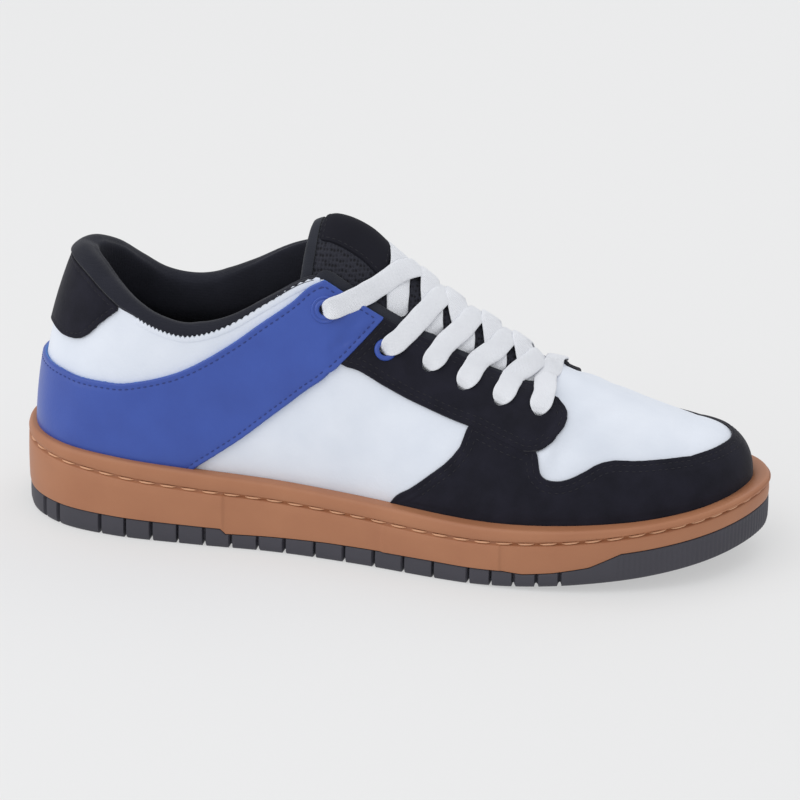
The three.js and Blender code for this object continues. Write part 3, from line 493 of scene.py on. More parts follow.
# %% A finish with grain and a faint unevenness
def finish(name, color, roughness, specular=0.5, coat=0.0, coat_roughness=0.2, sheen=0.0, sheen_roughness=0.5):
    material = bpy.data.materials.new(name)
    material.use_nodes = True
    shader = material.node_tree.nodes["Principled BSDF"]
    shader.inputs["Base Color"].default_value = (*color, 1)
    shader.inputs["Roughness"].default_value = roughness
    shader.inputs["Specular IOR Level"].default_value = specular
    shader.inputs["Coat Weight"].default_value = coat
    shader.inputs["Coat Roughness"].default_value = coat_roughness
    shader.inputs["Sheen Weight"].default_value = sheen
    shader.inputs["Sheen Roughness"].default_value = sheen_roughness
    return material


def add_node(material, kind, **values):
    node = material.node_tree.nodes.new(kind)
    for key, value in values.items():
        if key in node.inputs:
            node.inputs[key].default_value = value
        else:
            setattr(node, key, value)
    return node


def link(material, source, target):
    material.node_tree.links.new(source, target)


def texture(material, kind, scale, stretch=(1, 1, 1), source="Object", **values):
    """A texture in object space whose scale is in repeats a metre."""
    place = add_node(material, "ShaderNodeTexCoord")
    mapping = add_node(material, "ShaderNodeMapping")
    mapping.inputs["Scale"].default_value = stretch
    node = add_node(material, kind, Scale=scale, **values)
    link(material, place.outputs[source], mapping.inputs["Vector"])
    link(material, mapping.outputs["Vector"], node.inputs["Vector"])
    return node


def uneven(material, dark, light, scale, roughness=None):
    """Lets the colour, and if asked the roughness, drift between two values."""
    shader = material.node_tree.nodes["Principled BSDF"]
    drift = texture(material, "ShaderNodeTexNoise", scale, Detail=4.0)
    ramp = add_node(material, "ShaderNodeValToRGB")
    ramp.color_ramp.elements[0].position = 0.3
    ramp.color_ramp.elements[1].position = 0.7
    ramp.color_ramp.elements[0].color = (*dark, 1)
    ramp.color_ramp.elements[1].color = (*light, 1)
    link(material, drift.outputs["Fac"], ramp.inputs["Fac"])
    link(material, ramp.outputs["Color"], shader.inputs["Base Color"])
    if roughness:
        spread = add_node(material, "ShaderNodeMapRange")
        spread.inputs["To Min"].default_value = roughness[0]
        spread.inputs["To Max"].default_value = roughness[1]
        link(material, drift.outputs["Fac"], spread.inputs["Value"])
        link(material, spread.outputs["Result"], shader.inputs["Roughness"])


def grain(material, layers):
    """Stacks bumps. layers: (texture's output, depth in millimetres)."""
    shader = material.node_tree.nodes["Principled BSDF"]
    before = None
    for output, depth in layers:
        bump = add_node(material, "ShaderNodeBump", Strength=1.0, Distance=depth * MM)
        link(material, output, bump.inputs["Height"])
        if before:
            link(material, before.outputs["Normal"], bump.inputs["Normal"])
        before = bump
    link(material, before.outputs["Normal"], shader.inputs["Normal"])


# %% Leather, nubuck, rubber, knit and thread
def leather(name, dark, light, roughness, depth, coat=0.0, specular=0.5):
    material = finish(name, light, roughness, specular=specular, coat=coat, coat_roughness=0.3)
    uneven(material, dark, light, 55, (roughness - 0.05, roughness + 0.06))
    pores = texture(material, "ShaderNodeTexVoronoi", 950)
    wrinkles = texture(material, "ShaderNodeTexNoise", 320, Detail=5.0, Roughness=0.6)
    grain(material, [(pores.outputs["Distance"], depth), (wrinkles.outputs["Fac"], 1.6 * depth)])
    return material


def nubuck(name, dark, light):
    material = finish(name, light, 0.92, specular=0.22, sheen=0.1, sheen_roughness=0.35)
    uneven(material, dark, light, 120)
    nap = texture(material, "ShaderNodeTexNoise", 2600, Detail=3.0)
    brushed = texture(material, "ShaderNodeTexNoise", 240, Detail=4.0)
    grain(material, [(nap.outputs["Fac"], 0.1), (brushed.outputs["Fac"], 0.12)])
    return material


def rubber(name, dark, light, roughness):
    material = finish(name, light, roughness, specular=0.45)
    uneven(material, dark, light, 38, (roughness - 0.06, roughness + 0.08))
    skin_noise = texture(material, "ShaderNodeTexNoise", 1500, Detail=3.0)
    ripples = texture(material, "ShaderNodeTexNoise", 90, Detail=2.0)
    grain(material, [(skin_noise.outputs["Fac"], 0.03), (ripples.outputs["Fac"], 0.08)])
    return material


def knit(name, dark, light, loops, depth):
    """A jersey or a mesh: small round loops side by side."""
    material = finish(name, light, 0.95, specular=0.2, sheen=0.12, sheen_roughness=0.4)
    uneven(material, dark, light, 70)
    cells = texture(material, "ShaderNodeTexVoronoi", loops, stretch=(1, 1, 0.7), Randomness=0.25)
    fuzz = texture(material, "ShaderNodeTexNoise", 2400, Detail=2.0)
    grain(material, [(cells.outputs["Distance"], depth), (fuzz.outputs["Fac"], 0.08)])
    return material


def woven(name, dark, light, ribs, depth):
    """A flat braid. Its ribs cross in the piece's own length and width, which its UV map holds in millimetres."""
    material = finish(name, light, 0.85, specular=0.3, sheen=0.15, sheen_roughness=0.4)
    uneven(material, dark, light, 90)
    one = texture(material, "ShaderNodeTexWave", ribs, source="UV", Distortion=0.6, Detail=1.0)
    one.bands_direction = "DIAGONAL"
    other = texture(material, "ShaderNodeTexWave", ribs, stretch=(1, -1, 1), source="UV", Distortion=0.6, Detail=1.0)
    other.bands_direction = "DIAGONAL"
    grain(material, [(one.outputs["Fac"], depth), (other.outputs["Fac"], depth)])
    return material


def mesh_cloth(name, hole, yarn, cells, depth):
    """Spacer mesh: raised yarn round rows of small holes in height, with painted shade darkening the holes in colour.
    """
    material = finish(name, yarn, 0.9, specular=0.25, sheen=0.1)
    holes = texture(material, "ShaderNodeTexVoronoi", cells, stretch=(1, 0.75, 0.75), Randomness=0.3)
    ramp = add_node(material, "ShaderNodeValToRGB")
    ramp.color_ramp.elements[0].position = 0.18
    ramp.color_ramp.elements[1].position = 0.5
    # The hole colour is painted shade: each hole is darkened as if no light reached into it.
    ramp.color_ramp.elements[0].color = (*hole, 1)
    ramp.color_ramp.elements[1].color = (*yarn, 1)
    link(material, holes.outputs["Distance"], ramp.inputs["Fac"])
    link(material, ramp.outputs["Color"], material.node_tree.nodes["Principled BSDF"].inputs["Base Color"])
    grain(material, [(holes.outputs["Distance"], depth)])
    return material


white_leather = leather("white_leather", (0.7, 0.745, 0.83), (0.76, 0.8, 0.88), 0.46, 0.035)
blue_leather = leather("blue_leather", (0.023, 0.064, 0.34), (0.029, 0.077, 0.38), 0.42, 0.03, coat=0.15)
black_nubuck = nubuck("black_nubuck", (0.0085, 0.0085, 0.0145), (0.0135, 0.0132, 0.0225))
gum_rubber = rubber("gum_rubber", (0.37, 0.15, 0.073), (0.415, 0.178, 0.088), 0.5)
tread_rubber = rubber("tread_rubber", (0.042, 0.041, 0.053), (0.052, 0.05, 0.064), 0.62)
dark_knit = knit("dark_knit", (0.016, 0.017, 0.024), (0.022, 0.023, 0.033), 1250, 0.16)
dark_lining = knit("dark_lining", (0.047, 0.048, 0.072), (0.062, 0.063, 0.092), 1100, 0.12)
# spacer_mesh: the first colour is painted shade in the holes, the second the yarn.
spacer_mesh = mesh_cloth("spacer_mesh", (0.006, 0.006, 0.009), (0.026, 0.027, 0.038), 760, 0.8)
binding_cloth = knit("binding_cloth", (0.021, 0.023, 0.031), (0.029, 0.031, 0.041), 1500, 0.1)
smooth_black = leather("smooth_black", (0.0095, 0.0095, 0.015), (0.0125, 0.0125, 0.019), 0.8, 0.02, specular=0.15)
white_cotton = woven("white_cotton", (0.81, 0.825, 0.87), (0.85, 0.865, 0.91), 0.8, 0.09)
blue_thread = finish("blue_thread", (0.02, 0.04, 0.2), 0.7)
black_thread = finish("black_thread", (0.0115, 0.0115, 0.0175), 0.85)
white_thread = finish("white_thread", (0.72, 0.75, 0.82), 0.7)
gum_thread = finish("gum_thread", (0.66, 0.35, 0.2), 0.6)
floor_paint = finish("floor_paint", (0.36, 0.36, 0.362), 0.9, specular=0.1)
floor_shader = floor_paint.node_tree.nodes["Principled BSDF"]
floor_shader.inputs["Emission Color"].default_value = (1, 1, 1, 1)
floor_shader.inputs["Emission Strength"].default_value = 0.46
studio_floor.data.materials.append(floor_paint)
print("finishes:", len(bpy.data.materials))

# %% [markdown]
# ## The upper
# The real upper is cut from white leather, lined with dark knit and pulled over the last. It could start as a
# subdivided box, but its wall has to follow the last exactly, so it is one grid: out and up each rib, round the
# edge and down the inside again. The inner faces get the lining's finish. Past the throat the two halves meet on
# the ridge of the vamp, and a few rounds of smoothing there take away the fold.

# %% The upper's wall
def half_stations(step):
    """Stations from heel to toe, about a step apart, with the throat's end and the ridge's end among them."""
    parts = [(0, COLLAR_END), (COLLAR_END, THROAT_END), (THROAT_END, RIDGE_END), (RIDGE_END, 1)]
    runs = [np.linspace(a, b, max(2, round((b - a) * SIDE_LENGTH / step)), endpoint=False) for a, b in parts]
    return np.r_[np.concatenate(runs), 1.0]


def round_trip(half):
    """From the toe's tip along the outer side to the heel and back along the inner side."""
    return np.r_[-half[::-1], half[1:-1]]


UPPER_STEP = 1.5
upper_runs = round_trip(half_stations(UPPER_STEP))
outer_rises = np.linspace(0.06, 1, 66)
inner_rises = np.linspace(1, 0.06, 36)
rim_turn = np.linspace(0, math.pi, 5)[1:-1]
outer_face = skin(upper_runs[:, None], outer_rises[None, :], 0.0)
inner_face = skin(upper_runs[:, None], inner_rises[None, :], -UPPER_WALL)
middle_of_rim = (outer_face[:, -1] + inner_face[:, 0]) / 2
across_rim = (outer_face[:, -1] - inner_face[:, 0]) / 2
along_rim = unit(outer_face[:, -1] - outer_face[:, -2]) * UPPER_WALL * 0.35
past_throat = np.abs(upper_runs) >= THROAT_END - 1e-9
rim = [middle_of_rim + across_rim * math.cos(a) + along_rim * math.sin(a) * (~past_throat)[:, None]
       for a in rim_turn]
upper_points = np.concatenate([outer_face, np.stack(rim, 1), inner_face], 1)
columns = upper_points.shape[1]
upper_faces = grid_faces(len(upper_runs), columns, round_rows=True, round_columns=True)
face_row = np.repeat(np.arange(len(upper_runs)), columns)
face_column = np.tile(np.arange(columns), len(upper_runs))
first_rim = len(outer_rises) - 1
in_rim = (face_column >= first_rim) & (face_column <= first_rim + len(rim_turn))
both_past = past_throat & np.roll(past_throat, -1)
keep = ~(in_rim & both_past[face_row])
upper = make_piece("upper_leather", upper_points, upper_faces[keep], white_leather, join=0.02)
upper.data.materials.append(dark_lining)


def smooth_ridge(piece, rounds):
    """Softens the fold of the vamp along its ridge, inside and out."""
    work = bmesh.new()
    work.from_mesh(piece.data)
    low = x_of(RIDGE["along"][0]) + 3
    chosen = []
    for vert in work.verts:
        x, y, z = (v / MM for v in vert.co)
        if x > low and abs(y - ridge_y(x)) < 13 and z > 30:
            chosen.append(vert)
    for _ in range(rounds):
        bmesh.ops.smooth_vert(work, verts=chosen, factor=0.5, use_axis_x=True, use_axis_y=True, use_axis_z=True)
    work.to_mesh(piece.data)
    work.free()


smooth_ridge(upper, 24)
centres = np.array([p.center for p in upper.data.polygons]) / MM
tree = KDTree(outer_face.size // 3)
for i, point in enumerate(outer_face.reshape(-1, 3)):
    tree.insert(point, i)
tree.balance()
for polygon, centre in zip(upper.data.polygons, centres):
    if tree.find(centre)[2] > UPPER_WALL * 0.78:
        polygon.material_index = 1
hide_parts("upper")
report(upper)

# %% [markdown]
# ## Panels sewn on the upper
# The heel band, the eyestays, the mudguard and the heel tab are flat leather cut to a pattern, laid on the upper
# and sewn down about 2 mm inside their edge. A boolean cut of a thickened copy of the upper would give ragged
# edges, so each panel is a grid between its two pattern lines, with extra rows and columns near the cut. How high
# a point lies depends on its distance to the cut: it rises round the edge, dips under the seam and is full inside.

# %% Pattern lines, as the rise of the lower and upper cut at each station
HEEL_BAND = table(["at", "low", "high"], [
    (0, 0, 0.51), (0.06, 0, 0.515), (0.12, 0, 0.53), (0.18, 0, 0.58), (0.22, 0, 0.65), (0.26, 0, 0.735),
    (0.281, 0.16, 0.79), (0.31, 0.25, 0.85), (0.34, 0.325, 0.895), (0.375, 0.405, 0.925),
    (0.41, 0.47, 0.945), (0.43, 0.505, 0.985), (0.444, 0.55, 0.995), (0.454, 0.61, 0.995),
    (0.464, 0.68, 0.995), (0.474, 0.76, 0.995), (0.485, 0.855, 0.995), (0.496, 0.955, 0.995),
    (0.4988, 0.982, 0.995)])
EYESTAY = table(["at", "low", "high"], [
    (0.46, 0.607, 0.635), (0.466, 0.615, 0.68), (0.474, 0.62, 0.74), (0.485, 0.617, 0.835),
    (0.496, 0.61, 0.935), (0.506, 0.605, 0.995), (0.531, 0.59, 0.995), (0.579, 0.57, 0.995),
    (0.602, 0.565, 0.995), (0.642, 0.525, 0.995), (0.664, 0.502, 0.985), (0.68, 0.508, 0.925),
    (0.688, 0.518, 0.862), (0.696, 0.534, 0.79), (0.703, 0.566, 0.757), (0.7085, 0.612, 0.73),
    (0.7112, 0.655, 0.7)])
MUDGUARD = table(["at", "low", "high"], [
    (0.508, 0, 0.115), (0.516, 0, 0.15), (0.531, 0, 0.19), (0.554, 0, 0.27), (0.576, 0, 0.36), (0.589, 0, 0.44),
    (0.602, 0, 0.55), (0.642, 0, 0.512), (0.668, 0, 0.487), (0.677, 0, 0.475), (0.682, 0, 0.385),
    (0.69, 0, 0.35), (0.701, 0, 0.333), (0.7125, 0, 0.347), (0.73, 0, 0.392), (0.75, 0, 0.46),
    (0.768, 0, 0.497), (0.79, 0, 0.517), (0.82, 0, 0.555), (0.8366, 0, 0.58), (0.8532, 0, 0.608),
    (0.8632, 0, 0.622), (0.88, 0, 0.63), (0.91, 0, 0.638), (0.95, 0, 0.652), (1, 0, 0.662)])
HEEL_TAB = table(["at", "low", "high"], [
    (0, 0.65, 0.995), (0.05, 0.665, 0.995), (0.078, 0.662, 0.995), (0.1, 0.675, 0.995),
    (0.117, 0.703, 0.995), (0.132, 0.76, 0.995), (0.142, 0.82, 0.995), (0.155, 0.89, 0.995),
    (0.168, 0.965, 0.995)])

# %% A panel with rounded cuts and sewn borders
PANEL_STEP = 1.15
CUT_ROUND = 0.5
BURIED = -0.12
UNDER_SIDE = -0.6
NEAR_CUT = np.array([0, 0.07, 0.2, 0.42, 0.75, 1.15, 1.6, 2.1, 2.7, 3.4])


def panel_height(away, thickness, seams):
    """Height over the last at a distance from the cut."""
    rounding = np.sqrt(1 - (1 - np.clip(away / CUT_ROUND, 0, 1)) ** 2)
    height = BURIED + (thickness - BURIED) * rounding
    for seam in seams:
        height = height - 0.2 * np.exp(-((away - seam) / 0.55) ** 2)
    return height


def cut_loop(edges, start, end, step=0.2):
    """The panel's cut once round, as runs and rises: along the lower line and back along the upper one."""
    fine = np.linspace(start, end, 2400)
    low, high = edges(fine)
    first, last = np.linspace(high[0], low[0], 30)[1:-1], np.linspace(low[-1], high[-1], 30)[1:-1]
    runs = np.r_[fine, np.full(28, end), fine[::-1], np.full(28, start)]
    rises = np.r_[low, last, high[::-1], first]
    points = rib_point(runs, rises)
    length = np.r_[0, np.cumsum(np.linalg.norm(np.diff(points, axis=0), axis=1))]
    want = np.arange(0, length[-1], step)
    return np.interp(want, length, runs), np.interp(want, length, rises)


def tree_of(points):
    tree = KDTree(len(points))
    for i, point in enumerate(points):
        tree.insert(point, i)
    tree.balance()
    return tree


def panel(name, edges, start, end, thickness, material, edge_material, seams, node, slot):
    loop = cut_loop(edges, start, end)
    tree = tree_of(rib_point(*loop))
    fine = np.linspace(start, end, 3000)
    low, high = edges(fine)
    advance = np.maximum(np.linalg.norm(np.diff(rib_point(fine, low), axis=0), axis=1),
                         np.linalg.norm(np.diff(rib_point(fine, high), axis=0), axis=1))
    length = np.r_[0, np.cumsum(advance)]
    inner = np.arange(NEAR_CUT[-1], length[-1] - NEAR_CUT[-1], PANEL_STEP)
    runs = np.interp(np.r_[NEAR_CUT, inner[1:], length[-1] - NEAR_CUT[::-1]], length, fine)
    low, high = edges(runs)
    tall = np.linalg.norm(rib_point(runs, high) - rib_point(runs, low), axis=1)
    border = np.minimum(NEAR_CUT[-1], 0.4 * tall) / tall
    near = NEAR_CUT / NEAR_CUT[-1]
    middle_count = int(tall.max() / (1.5 * PANEL_STEP))
    middle = np.linspace(0, 1, middle_count + 2)[1:-1]
    share = np.concatenate([border[:, None] * near, border[:, None] + (1 - 2 * border[:, None]) * middle,
                            1 - border[:, None] * near[::-1]], 1)
    rises = low[:, None] + (high - low)[:, None] * share
    wide = np.broadcast_to(runs[:, None], rises.shape)
    flat = rib_point(wide, rises)
    away = np.array([tree.find(point)[2] for point in flat.reshape(-1, 3)]).reshape(rises.shape)
    face = skin(wide, rises, panel_height(away, thickness, seams))
    chosen = np.unique(np.r_[0, np.linspace(5, share.shape[1] - 6, 10).astype(int), share.shape[1] - 1])
    under = skin(wide[:, chosen], rises[:, chosen], UNDER_SIDE)
    under[:, 0], under[:, -1] = face[:, 0], face[:, -1]
    faces = list(grid_faces(*rises.shape)) + list(grid_faces(*under.shape[:2], first=face.size // 3))
    for row in (0, len(runs) - 1):
        over = [row * share.shape[1] + k for k in range(share.shape[1])]
        below = [face.size // 3 + row * len(chosen) + k for k in range(1, len(chosen) - 1)]
        faces.append(over + below[::-1])
    points = np.concatenate([face.reshape(-1, 3), under.reshape(-1, 3)])
    piece = make_piece(name, points, faces, material, sharp=60, join=0.002)
    piece.data.materials.append(edge_material)
    for polygon in piece.data.polygons:
        if tree.find(polygon.center / MM)[2] < 0.62 + 0.3 * thickness:
            polygon.material_index = 1
    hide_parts(node)
    report(piece)
    return {"piece": piece, "loop": loop, "tree": tree, "thickness": thickness, "seams": seams}


# %% Stitches along a cut
def inset_loop(runs, rises, distance):
    """The loop moved inwards on the last's surface by a distance in millimetres."""
    points = rib_point(runs, rises)
    way = unit(np.roll(points, -3, 0) - np.roll(points, 3, 0))
    inwards = distance * unit(np.cross(way, rib_normal(runs, rises)))
    ahead, climb = rib_ways(runs, rises)
    dot = lambda a, b: (a * b).sum(-1)
    across = dot(ahead, climb)
    determinant = dot(ahead, ahead) * dot(climb, climb) - across ** 2
    move_run = (dot(inwards, ahead) * dot(climb, climb) - dot(inwards, climb) * across) / determinant
    move_rise = (dot(inwards, climb) * dot(ahead, ahead) - dot(inwards, ahead) * across) / determinant
    return runs + move_run, rises + move_rise


def stitch_mesh(name, points, normals, closed, length, gap, radius, thread, sink=0.35, slant=0.0, keep=None):
    """Grains of thread laid end to end along a line of points in millimetres."""
    run = np.r_[0, np.cumsum(np.linalg.norm(np.diff(points, axis=0), axis=1))]
    centres = np.arange(length / 2, run[-1] - length / 2, length + gap)
    at = lambda places, values: np.stack([np.interp(places, run, values[:, k]) for k in range(3)], 1)
    here, up = at(centres, points), unit(at(centres, normals))
    way = unit(at(centres + length / 3, points) - at(centres - length / 3, points))
    side = unit(np.cross(up, way))
    if slant:
        way = unit(way + slant * side)
        side = unit(np.cross(up, way))
    if keep is not None:
        shown = keep(here)
        here, up, way, side = here[shown], up[shown], way[shown], side[shown]
    ends = np.array([-0.5, -0.42, -0.25, 0, 0.25, 0.42, 0.5])
    thick = np.array([0.05, 0.62, 0.92, 1, 0.92, 0.62, 0.05])
    drop = sink * (2 * np.abs(ends)) ** 4
    turn = np.linspace(0, 2 * math.pi, 6, endpoint=False)
    a = (ends * length)[None, :, None, None] * way[:, None, None, :]
    b = (radius * thick[:, None] * np.cos(turn))[None, :, :, None] * side[:, None, None, :]
    c = (radius * thick[:, None] * np.sin(turn) - drop[:, None])[None, :, :, None] * up[:, None, None, :]
    grains = here[:, None, None, :] + a + b + c
    one = grid_faces(len(ends), len(turn), round_columns=True)
    size = len(ends) * len(turn)
    faces = [list(face) for k in range(len(here)) for face in one + k * size]
    faces += [list(range(k * size, k * size + 6))[::-1] for k in range(len(here))]
    faces += [list(range(k * size + size - 6, k * size + size)) for k in range(len(here))]
    mesh = bpy.data.meshes.new(name)
    mesh.from_pydata((grains.reshape(-1, 3) * MM).tolist(), [], [list(map(int, f)) for f in faces])
    mesh.shade_smooth()
    piece = bpy.data.objects.new(name, mesh)
    bpy.context.collection.objects.link(piece)
    piece.data.materials.append(thread)
    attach(piece, "root")
    print(name, "has", len(here), "stitches")
    return piece


STITCH_LENGTH, STITCH_GAP, STITCH_RADIUS = 1.9, 0.75, 0.27


def sew(made, name, thread, insets=None, hidden=None, radius=STITCH_RADIUS):
    """Sews a panel down along its seams, where the cup and other panels leave them to be seen."""
    seams = []
    for k, inset in enumerate(insets or made["seams"]):
        runs, rises = inset_loop(*made["loop"], inset)
        points = skin(runs, rises, panel_height(np.full(runs.shape, inset), made["thickness"], made["seams"]) + 0.06)
        normals = rib_normal(runs, rises)
        shown = rises > lip_rise(runs) + 0.004
        if hidden is not None:
            shown &= ~hidden(runs, rises)
        flat = rib_point(runs, rises)
        far = np.array([made["tree"].find(point)[2] for point in flat]) > inset - 0.2
        allowed = tree_of(points[shown & far])
        keep = lambda places: np.array([allowed.find(place)[2] < 0.4 for place in places], bool)
        piece = stitch_mesh(f"{name}_{k + 1}", points, normals, True, STITCH_LENGTH, STITCH_GAP, radius, thread,
                            keep=keep)
        seams.append(piece)
    return seams


# %% [markdown]
# ## The panels of this shoe
# The mudguard goes on first, then the eyestays, which cover its upper ends, and the blue heel band last, whose
# ends lie over the eyestays and take the top eyelet. So the three lie at rising heights, and each lower panel
# runs on a little under the next one.

# %% Cut and lay the panels
TUCK_UNDER = 0.032


def band_edges(run):
    at = np.abs(station_of(run))
    low = np.maximum(steady(HEEL_BAND, "low", at), tuck_rise(run))
    return low, steady(HEEL_BAND, "high", at)


def eyestay_edges(run):
    at = np.abs(station_of(run))
    under_band = TUCK_UNDER * np.clip((0.512 - at) / 0.008, 0, 1)
    return steady(EYESTAY, "low", at), np.minimum(steady(EYESTAY, "high", at) + under_band, 0.995)


def mudguard_edges(run):
    at = np.abs(station_of(run))
    under_eyestay = TUCK_UNDER * np.clip((at - 0.59) / 0.012, 0, 1) * np.clip((0.679 - at) / 0.004, 0, 1)
    return tuck_rise(run), steady(MUDGUARD, "high", at) + under_eyestay


def tab_edges(run):
    at = np.abs(station_of(run))
    return steady(HEEL_TAB, "low", at), steady(HEEL_TAB, "high", at)


cut_black = leather("cut_black", (0.016, 0.015, 0.02), (0.024, 0.023, 0.03), 0.7, 0.02)
cut_blue = leather("cut_blue", (0.04, 0.14, 0.5), (0.05, 0.19, 0.56), 0.5, 0.02)
mudguard = panel("mudguard_nubuck", mudguard_edges, -1.492, -0.508, 1.2, black_nubuck, cut_black, (2.2, 4.6),
                 "mudguard", "black_nubuck")
EYESTAY_ENDS = (0.454, float(EYESTAY["at"][-1]))
outer_eyestay = panel("eyestay_outer_nubuck", eyestay_edges, -EYESTAY_ENDS[1], -EYESTAY_ENDS[0], 1.6, black_nubuck, cut_black,
                      (2.2, 4.4), "eyestay_outer", "black_nubuck")
inner_eyestay = panel("eyestay_inner_nubuck", eyestay_edges, *EYESTAY_ENDS, 1.6, black_nubuck, cut_black,
                      (2.2, 4.4), "eyestay_inner", "black_nubuck")
band = panel("heel_band_leather", band_edges, -0.4988, 0.4988, 1.95, blue_leather, cut_blue, (2.3,), "heel_band",
             "blue_leather")
tab = panel("heel_tab_nubuck", tab_edges, -0.168, 0.168, 1.5, black_nubuck, cut_black, (2.0,), "heel_tab",
            "black_nubuck")


# %% Sew them down
def under_eyestay(runs, rises):
    """Also the mudguard's lower border, whose seam the cup hides."""
    at = np.abs(station_of(runs))
    covered = (at > 0.59) & (at < 0.69) & (rises > steady(EYESTAY, "low", at) - 0.012)
    return covered | (rises < tuck_rise(runs) + 0.09)


def under_band(runs, rises):
    at = np.abs(station_of(runs))
    return (at < 0.5) & (rises > steady(HEEL_BAND, "low", at) - 0.012)


def at_throat(runs, rises):
    return under_band(runs, rises) | (rises > 0.97)


sew(mudguard, "mudguard_seam", black_thread, hidden=under_eyestay, radius=0.2)
sew(outer_eyestay, "eyestay_outer_seam", black_thread, hidden=at_throat, radius=0.2)
sew(inner_eyestay, "eyestay_inner_seam", black_thread, hidden=at_throat, radius=0.2)
sew(band, "heel_band_seam", blue_thread)
sew(tab, "heel_tab_seam", black_thread, radius=0.2)
print("panels sewn down")

# %% [markdown]
# ## The cup sole
# The gum-coloured cup is moulded: a floor, a wall with a rounded lip, and a stitch channel all round, through
# which it is sewn to the upper. Below the channel the wall stands forward and back in long flat stretches. A
# profile of about thirty points is set up at each of some eight hundred places of the outline and skinned, which
# keeps the lip and the channel crisp where a subdivided block would blur them.

# %% The cup's profile, set up round the outline
LIP_ROUND = 1.7
CHANNEL_WIDTH = 2.4
CHANNEL_DEPTH = 1.3
WALL_EDGE = 0.35
WALL_STEP = 0.55
SPINE_HEEL, SPINE_TOE = 0.145, 0.845


def inside(run, inset):
    """A place inside the outline, a distance from its edge."""
    point, out = outline_at(run)
    return point - out * np.asarray(inset, float)[..., None]


def spine(run):
    """The middle line of the sole, where the halves of floor and tread meet."""
    middle = (outline_at(run)[0] + outline_at(-run)[0]) / 2
    along = np.clip(along_of(middle[..., 0]), SPINE_HEEL, SPINE_TOE)
    x = x_of(along)
    return np.stack([x, ridge_y(x)], -1)


def at_height(place, z):
    return np.concatenate([place, np.broadcast_to(np.asarray(z, float), place.shape[:-1])[..., None]], -1)


def set_back(run):
    """How far the wall's lower part stands back, in stretches with soft ends."""
    at = np.abs(station_of(run))
    passed = sum(1 / (1 + np.exp(-np.clip((at - step) * SIDE_LENGTH / 0.35, -40, 40))) for step in WALL_STEPS)
    return WALL_STEP * (1 - np.cos(math.pi * passed)) / 2


cup_runs = round_trip(half_stations(0.9))
step_ends = np.concatenate([np.array(WALL_STEPS) + d / SIDE_LENGTH for d in (-1, -0.5, -0.2, 0.2, 0.5, 1)])
cup_runs = np.unique(np.round(np.r_[cup_runs, step_ends, -step_ends], 6))
zeros = np.zeros(cup_runs.shape)
lip = lip_rise(cup_runs)
own = rib_point(cup_runs, lip)
_, out = outline_at(cup_runs)
edge_x = outline_at(cup_runs)[0][:, 0]
crown = side_height("top", edge_x)
channel = side_height("channel", edge_x)
under = tread_top(cup_runs, edge_x) + GAP
own_xy = own[:, :2] + out * GAP
cup = [at_height(spine(cup_runs), side_height("floor", spine(cup_runs)[:, 0]) - GAP)]
foot = rib_point(cup_runs, 0.0)
cup.append(at_height(foot[:, :2] + out * GAP, side_height("floor", foot[:, 0]) - GAP))
half_up = rib_point(cup_runs, lip * 0.5)
cup.append(half_up + np.concatenate([out * GAP, zeros[:, None]], 1))
own_top = side_height("top", own[:, 0])
for outwards, down in ((-0.02, 1.0), (0.05, 0.3), (0.3, 0.03)):
    cup.append(at_height(own_xy + out * outwards, own_top - down))
for angle in np.radians([90, 68, 46, 24, 0]):
    inset = WALL_EDGE + LIP_ROUND * (1 - math.cos(angle))
    cup.append(at_height(inside(cup_runs, zeros + inset), crown - LIP_ROUND * 1.25 * (1 - math.sin(angle))))
upper_wall = crown - 1.25 * LIP_ROUND - channel - CHANNEL_WIDTH / 2
for share in (0.33, 0.66):
    inset = WALL_EDGE - 0.25 * math.sin(math.pi * share)
    cup.append(at_height(inside(cup_runs, zeros + inset), crown - 1.25 * LIP_ROUND - share * upper_wall))
low_inset = 0.15 + set_back(cup_runs)
for share, deep in ((1, 0), (0.78, 0.12), (0.55, 0.6), (0.3, 0.95), (0, 1), (-0.3, 0.95), (-0.55, 0.6),
                    (-0.78, 0.12), (-1, 0)):
    base = WALL_EDGE if share > 0 else low_inset if share < 0 else (WALL_EDGE + low_inset) / 2
    height = channel + share * CHANNEL_WIDTH / 2
    cup.append(at_height(inside(cup_runs, base + deep * CHANNEL_DEPTH), height))
low_wall = channel - CHANNEL_WIDTH / 2 - under
for share in (0.25, 0.5, 0.75, 0.93):
    bulge = 0.2 * math.sin(math.pi * share)
    cup.append(at_height(inside(cup_runs, low_inset - bulge), channel - CHANNEL_WIDTH / 2 - share * low_wall))
cup.append(at_height(inside(cup_runs, low_inset + 0.15), under + 0.08))
cup.append(at_height(inside(cup_runs, low_inset + 0.5), under))
cup.append(at_height(inside(cup_runs, zeros + BUMPER_WIDTH + GAP), under))
plate = ground(edge_x) + TREAD_PLATE + GAP
cup.append(at_height(inside(cup_runs, zeros + BUMPER_WIDTH + 1.3), plate))
cup.append(at_height(spine(cup_runs), ground(spine(cup_runs)[:, 0]) + TREAD_PLATE + GAP))
cup_points = np.stack(cup, 1)
cup_piece = make_piece("cup_sole", cup_points, grid_faces(*cup_points.shape[:2], round_rows=True), gum_rubber,
                       sharp=38)
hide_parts("midsole")
report(cup_piece)

# %% The thread in the channel
CHANNEL_STITCH, CHANNEL_STITCH_GAP = 7.0, 1.6
thread_runs = round_trip(half_stations(1.5))
thread_runs = np.r_[thread_runs, thread_runs[0] + 2]
thread_x = outline_at(thread_runs)[0][:, 0]
thread_inset = (WALL_EDGE + 0.15 + set_back(thread_runs)) / 2 + 0.62
thread_line = at_height(inside(thread_runs, thread_inset), side_height("channel", thread_x))
thread_out = at_height(outline_at(thread_runs)[1], 0)
channel_seam = stitch_mesh("cup_seam", thread_line, thread_out, True, CHANNEL_STITCH, CHANNEL_STITCH_GAP, 0.48,
                           gum_thread, sink=0.9, slant=0.03)

